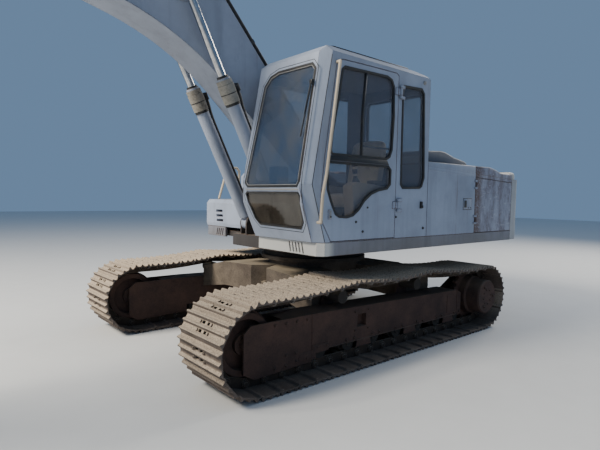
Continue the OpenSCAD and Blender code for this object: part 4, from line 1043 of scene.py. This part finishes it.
for side, word in ((1, "left"), (-1, "right")):
    for x0, x1, inner, name, look in ((HOUSING_END, CAB_END, 1.10, "roof_edge_", "body_paint"),
                                      (BAY_END, BAY_FRONT, 1.002, "bay_edge_", "stained_paint")):
        inside = [x for x, z in EDGE_TOP if x0 < x < x1]
        line = [(x, height_at(EDGE_TOP, x)) for x in (x0, *inside, x1)]
        shape = bmesh.new()
        slab(shape, [(x0, roof(x0) - 0.002), *line, (x1, roof(x1) - 0.002)], side * inner, side * UPPER,
             round_off=0.008)
        if look == "body_paint":
            slab(shape, [(x0, roof(x0) - 0.050), (x1, roof(x1) - 0.050), (x1, roof(x1) + 0.01),
                         (x0, roof(x0) + 0.01)], side * 1.31, side * (UPPER - 0.0005), round_off=0.002)
        else:
            slab(shape, [(x0, roof(x0) - 0.040), (x1, roof(x1) - 0.040), (x1, roof(x1)), (x0, roof(x0))],
                 side * (UPPER - 0.003), side * (UPPER + 0.001))
        settle(name + word, shape, look, "upperstructure", 50)
shape = bmesh.new()
COVER_END = -1.419
slab(shape, ((COVER_END, roof(COVER_END) - 0.01), (CAB_END, roof(CAB_END) - 0.01), (CAB_END, 2.115),
             (-0.47, 2.142), (-0.62, 2.150), (-0.86, 2.164), (-0.94, 2.158), (-1.126, 2.108),
             (-1.355, 2.075), (COVER_END, 2.050)), 0.512, 1.248, round_off=0.014)
settle("hood_front_cover", shape, "slate_paint", "upperstructure", 50)
# A thin black strip runs along the foot of the cover.
shape = bmesh.new()
slab(shape, ((-1.42, 2.0105), (CAB_END, 2.0045), (CAB_END, 2.026), (-1.42, 2.032)), 1.2475, 1.256,
     round_off=0.002)
settle("hood_front_black_line", shape, "black_rubber", angle=50)

# %% [markdown]
# The lift cylinders carry what the photo shows best on the boom: a stepped head with a black
# dust ring, a clamp, and a thin oil pipe that runs down the tube from an elbow at the head. All
# are laid in the cylinder's own line, so a matrix along that line places them.

# %% Cylinder trim
PINS = {"lift_foot": (0.775, 1.28), "boom_eye": (1.95, 3.59)}


def along(p, q, y):
    """A matrix at p whose Z runs to q and whose X points to the front side of the tube."""
    line = Vector((q[0] - p[0], 0, q[1] - p[1])).normalized()
    side_way = Vector((0, 1, 0))
    grid = Matrix((side_way.cross(line), side_way, line)).transposed().to_4x4()
    return Matrix.Translation((p[0], y, p[1])) @ grid


def dress_cylinder(name, body, at, tube_r, rod_r, length):
    shape = bmesh.new()
    for z, r, h in ((length - 0.205, tube_r + 0.012, 0.09), (length - 0.11, tube_r + 0.014, 0.085),
                    (length - 0.045, tube_r + 0.010, 0.05), (length - 0.012, tube_r - 0.006, 0.028)):
        drum(shape, at @ spot(0, 0, z), r, h, 40)
    bolt_ring(shape, at @ spot(0, 0, length - 0.0205), tube_r - 0.012, 8, 0.009)
    settle(name + "_head", shape, "cast_steel", body)
    shape = bmesh.new()
    drum(shape, at @ spot(0, 0, length + 0.010), rod_r + 0.016, 0.024, 36)
    drum(shape, at @ spot(0, 0, length - 0.262), tube_r + 0.007, 0.030, 40)
    for z in (0.42, 1.0):
        block(shape, at @ spot(-(tube_r + 0.010), 0, z), (0.026, 0.034, 0.022), 0.003)
    for z in (length - 0.158, length - 0.068):
        drum(shape, at @ spot(0, 0, z), tube_r + 0.0135, 0.005, 40)
    drum(shape, at @ spot(-(tube_r + 0.022), 0, length - 0.11, turn("Y", 90)), 0.026, 0.05, 16)
    block(shape, at @ spot(-(tube_r + 0.050), 0, length - 0.13), (0.042, 0.048, 0.085), 0.012)
    out = -(tube_r + 0.0205)
    tube(shape, [at @ Vector(p) for p in ((out - 0.026, 0, length - 0.14), (out - 0.026, 0, length - 0.22),
         (out, 0, length - 0.34), (out, 0, 0.9), (out, 0, 0.3), (out, 0, 0.20), (-tube_r * 0.6, 0, 0.15))],
         0.017, 10, 5)
    settle(name + "_pipe", shape, "black_rubber", body)


for side in (1, -1):
    word = "left" if side > 0 else "right"
    dress_cylinder("lift_cylinder_" + word, "boom_barrels",
                   along(PINS["lift_foot"], PINS["boom_eye"], side * 0.312), 0.070, 0.042, 1.653)

# %% [markdown]
# Pins end in round caps, and the boom's long corners are closed by weld beads. A stiffening plate is welded
# round the boss where each lift cylinder pushes on the boom.

# %% Boom trim
def arc(centre, radius, start, end, count):
    return [(centre[0] + radius * math.cos(math.radians(start + (end - start) * k / count)),
             centre[1] + radius * math.sin(math.radians(start + (end - start) * k / count)))
            for k in range(count + 1)]


BACK_LINE = arc((2.55, 2.556), 1.5, 138.3, 95, 24) + [(5.15, 4.2327)]
BELLY_LINE = [(5.20, 3.966)] + arc((3.138, 0.772), 2.6, 105, 130, 18)
shape = bmesh.new()
for side in (1, -1):
    for line, lift in ((BACK_LINE, -0.004), (BELLY_LINE, 0.004)):
        bead(shape, [(x, side * 0.2045, z + lift) for x, z in line], 0.0065)
settle("boom_welds", shape, "boom_paint", "boom", 60)
shape = bmesh.new()
for side in (1, -1):
    y = side * 0.205
    x, z = PINS["boom_eye"]
    turns = [math.tau * k / 32 for k in range(32)]
    ring = [(x + 0.2835 * math.cos(a), z + 0.17 * math.sin(a)) for a in turns]
    slab(shape, ring, y, y + side * 0.010)
    for cx, cz, r in ((0.1, 1.70, 0.10), (5.25, 4.10, 0.10)):
        drum(shape, spot(cx, side * (0.222 if cx < 1 else 0.225), cz, turn("X", 90)), r, 0.012, 36)
settle("boom_plates", shape, "boom_paint", "boom")

# %% [markdown]
# The crown follows the counterweight's plan a little way in and keeps the lifting holes open.
# A fill between three closed loops gives the top with its two holes in one step.

# %% Counterweight crown
def loop(shape, points, z):
    verts = [shape.verts.new((x, y, z)) for x, y in points]
    return [shape.edges.new(pair) for pair in zip(verts, verts[1:] + verts[:1])]


CORNER, TAIL, INSET = 0.170, 2.909, 0.035
swing = math.degrees(math.asin((UPPER - CORNER) / (TAIL - CORNER)))
hub = (TAIL - CORNER) * math.cos(math.radians(swing))
half = UPPER - CORNER
plan = ([(BAY_END, INSET - UPPER)] + arc((-hub, -half), CORNER - INSET, 270, 180 + swing, 8)
        + arc((0, 0), TAIL - INSET, 180 + swing, 180 - swing, 24)[1:-1]
        + arc((-hub, half), CORNER - INSET, 180 - swing, 90, 8) + [(BAY_END, UPPER - INSET)])
shape = bmesh.new()
edges = loop(shape, plan, 1.862)
for y in (-0.8, 0.8):
    edges += loop(shape, arc((349 / 1000 - TAIL, y), 0.030, 0, 345, 23), 1.862)
faces = bmesh.ops.triangle_fill(shape, use_beauty=True, use_dissolve=False, edges=edges)["geom"]
for v in push(shape, [f for f in faces if isinstance(f, bmesh.types.BMFace)], (0, 0, 0))[0]:
    v.co.z = 1.988 + (v.co.x - BAY_END) * 0.05
tops = [e for e in shape.edges if min(v.co.z for v in e.verts) > 1.9 and e.calc_face_angle(0) > 1.0
        and min(abs(abs(v.co.y) - 0.8) + abs(v.co.x - 0.349 + TAIL) for v in e.verts) > 0.06]
soften(shape, tops, 0.034, 4)
# Painted sunlight: the crown's pale cream stands for the sun on the counterweight's top.
settle("counterweight_crown", shape, "sunlit_top_paint", "upperstructure", 40)

# %% [markdown]
# The pins at the feet of the lift cylinders are held by three lock bolts on each end.

# %% Upper structure fasteners
shape = bmesh.new()
for side in (1, -1):
    x, z = PINS["lift_foot"]
    bolt_ring(shape, spot(x, side * 0.387, z) @ turn("X", -90 * side), 0.024, 3, 0.007)
settle("upper_bolts", shape, "dark_steel", "upperstructure")
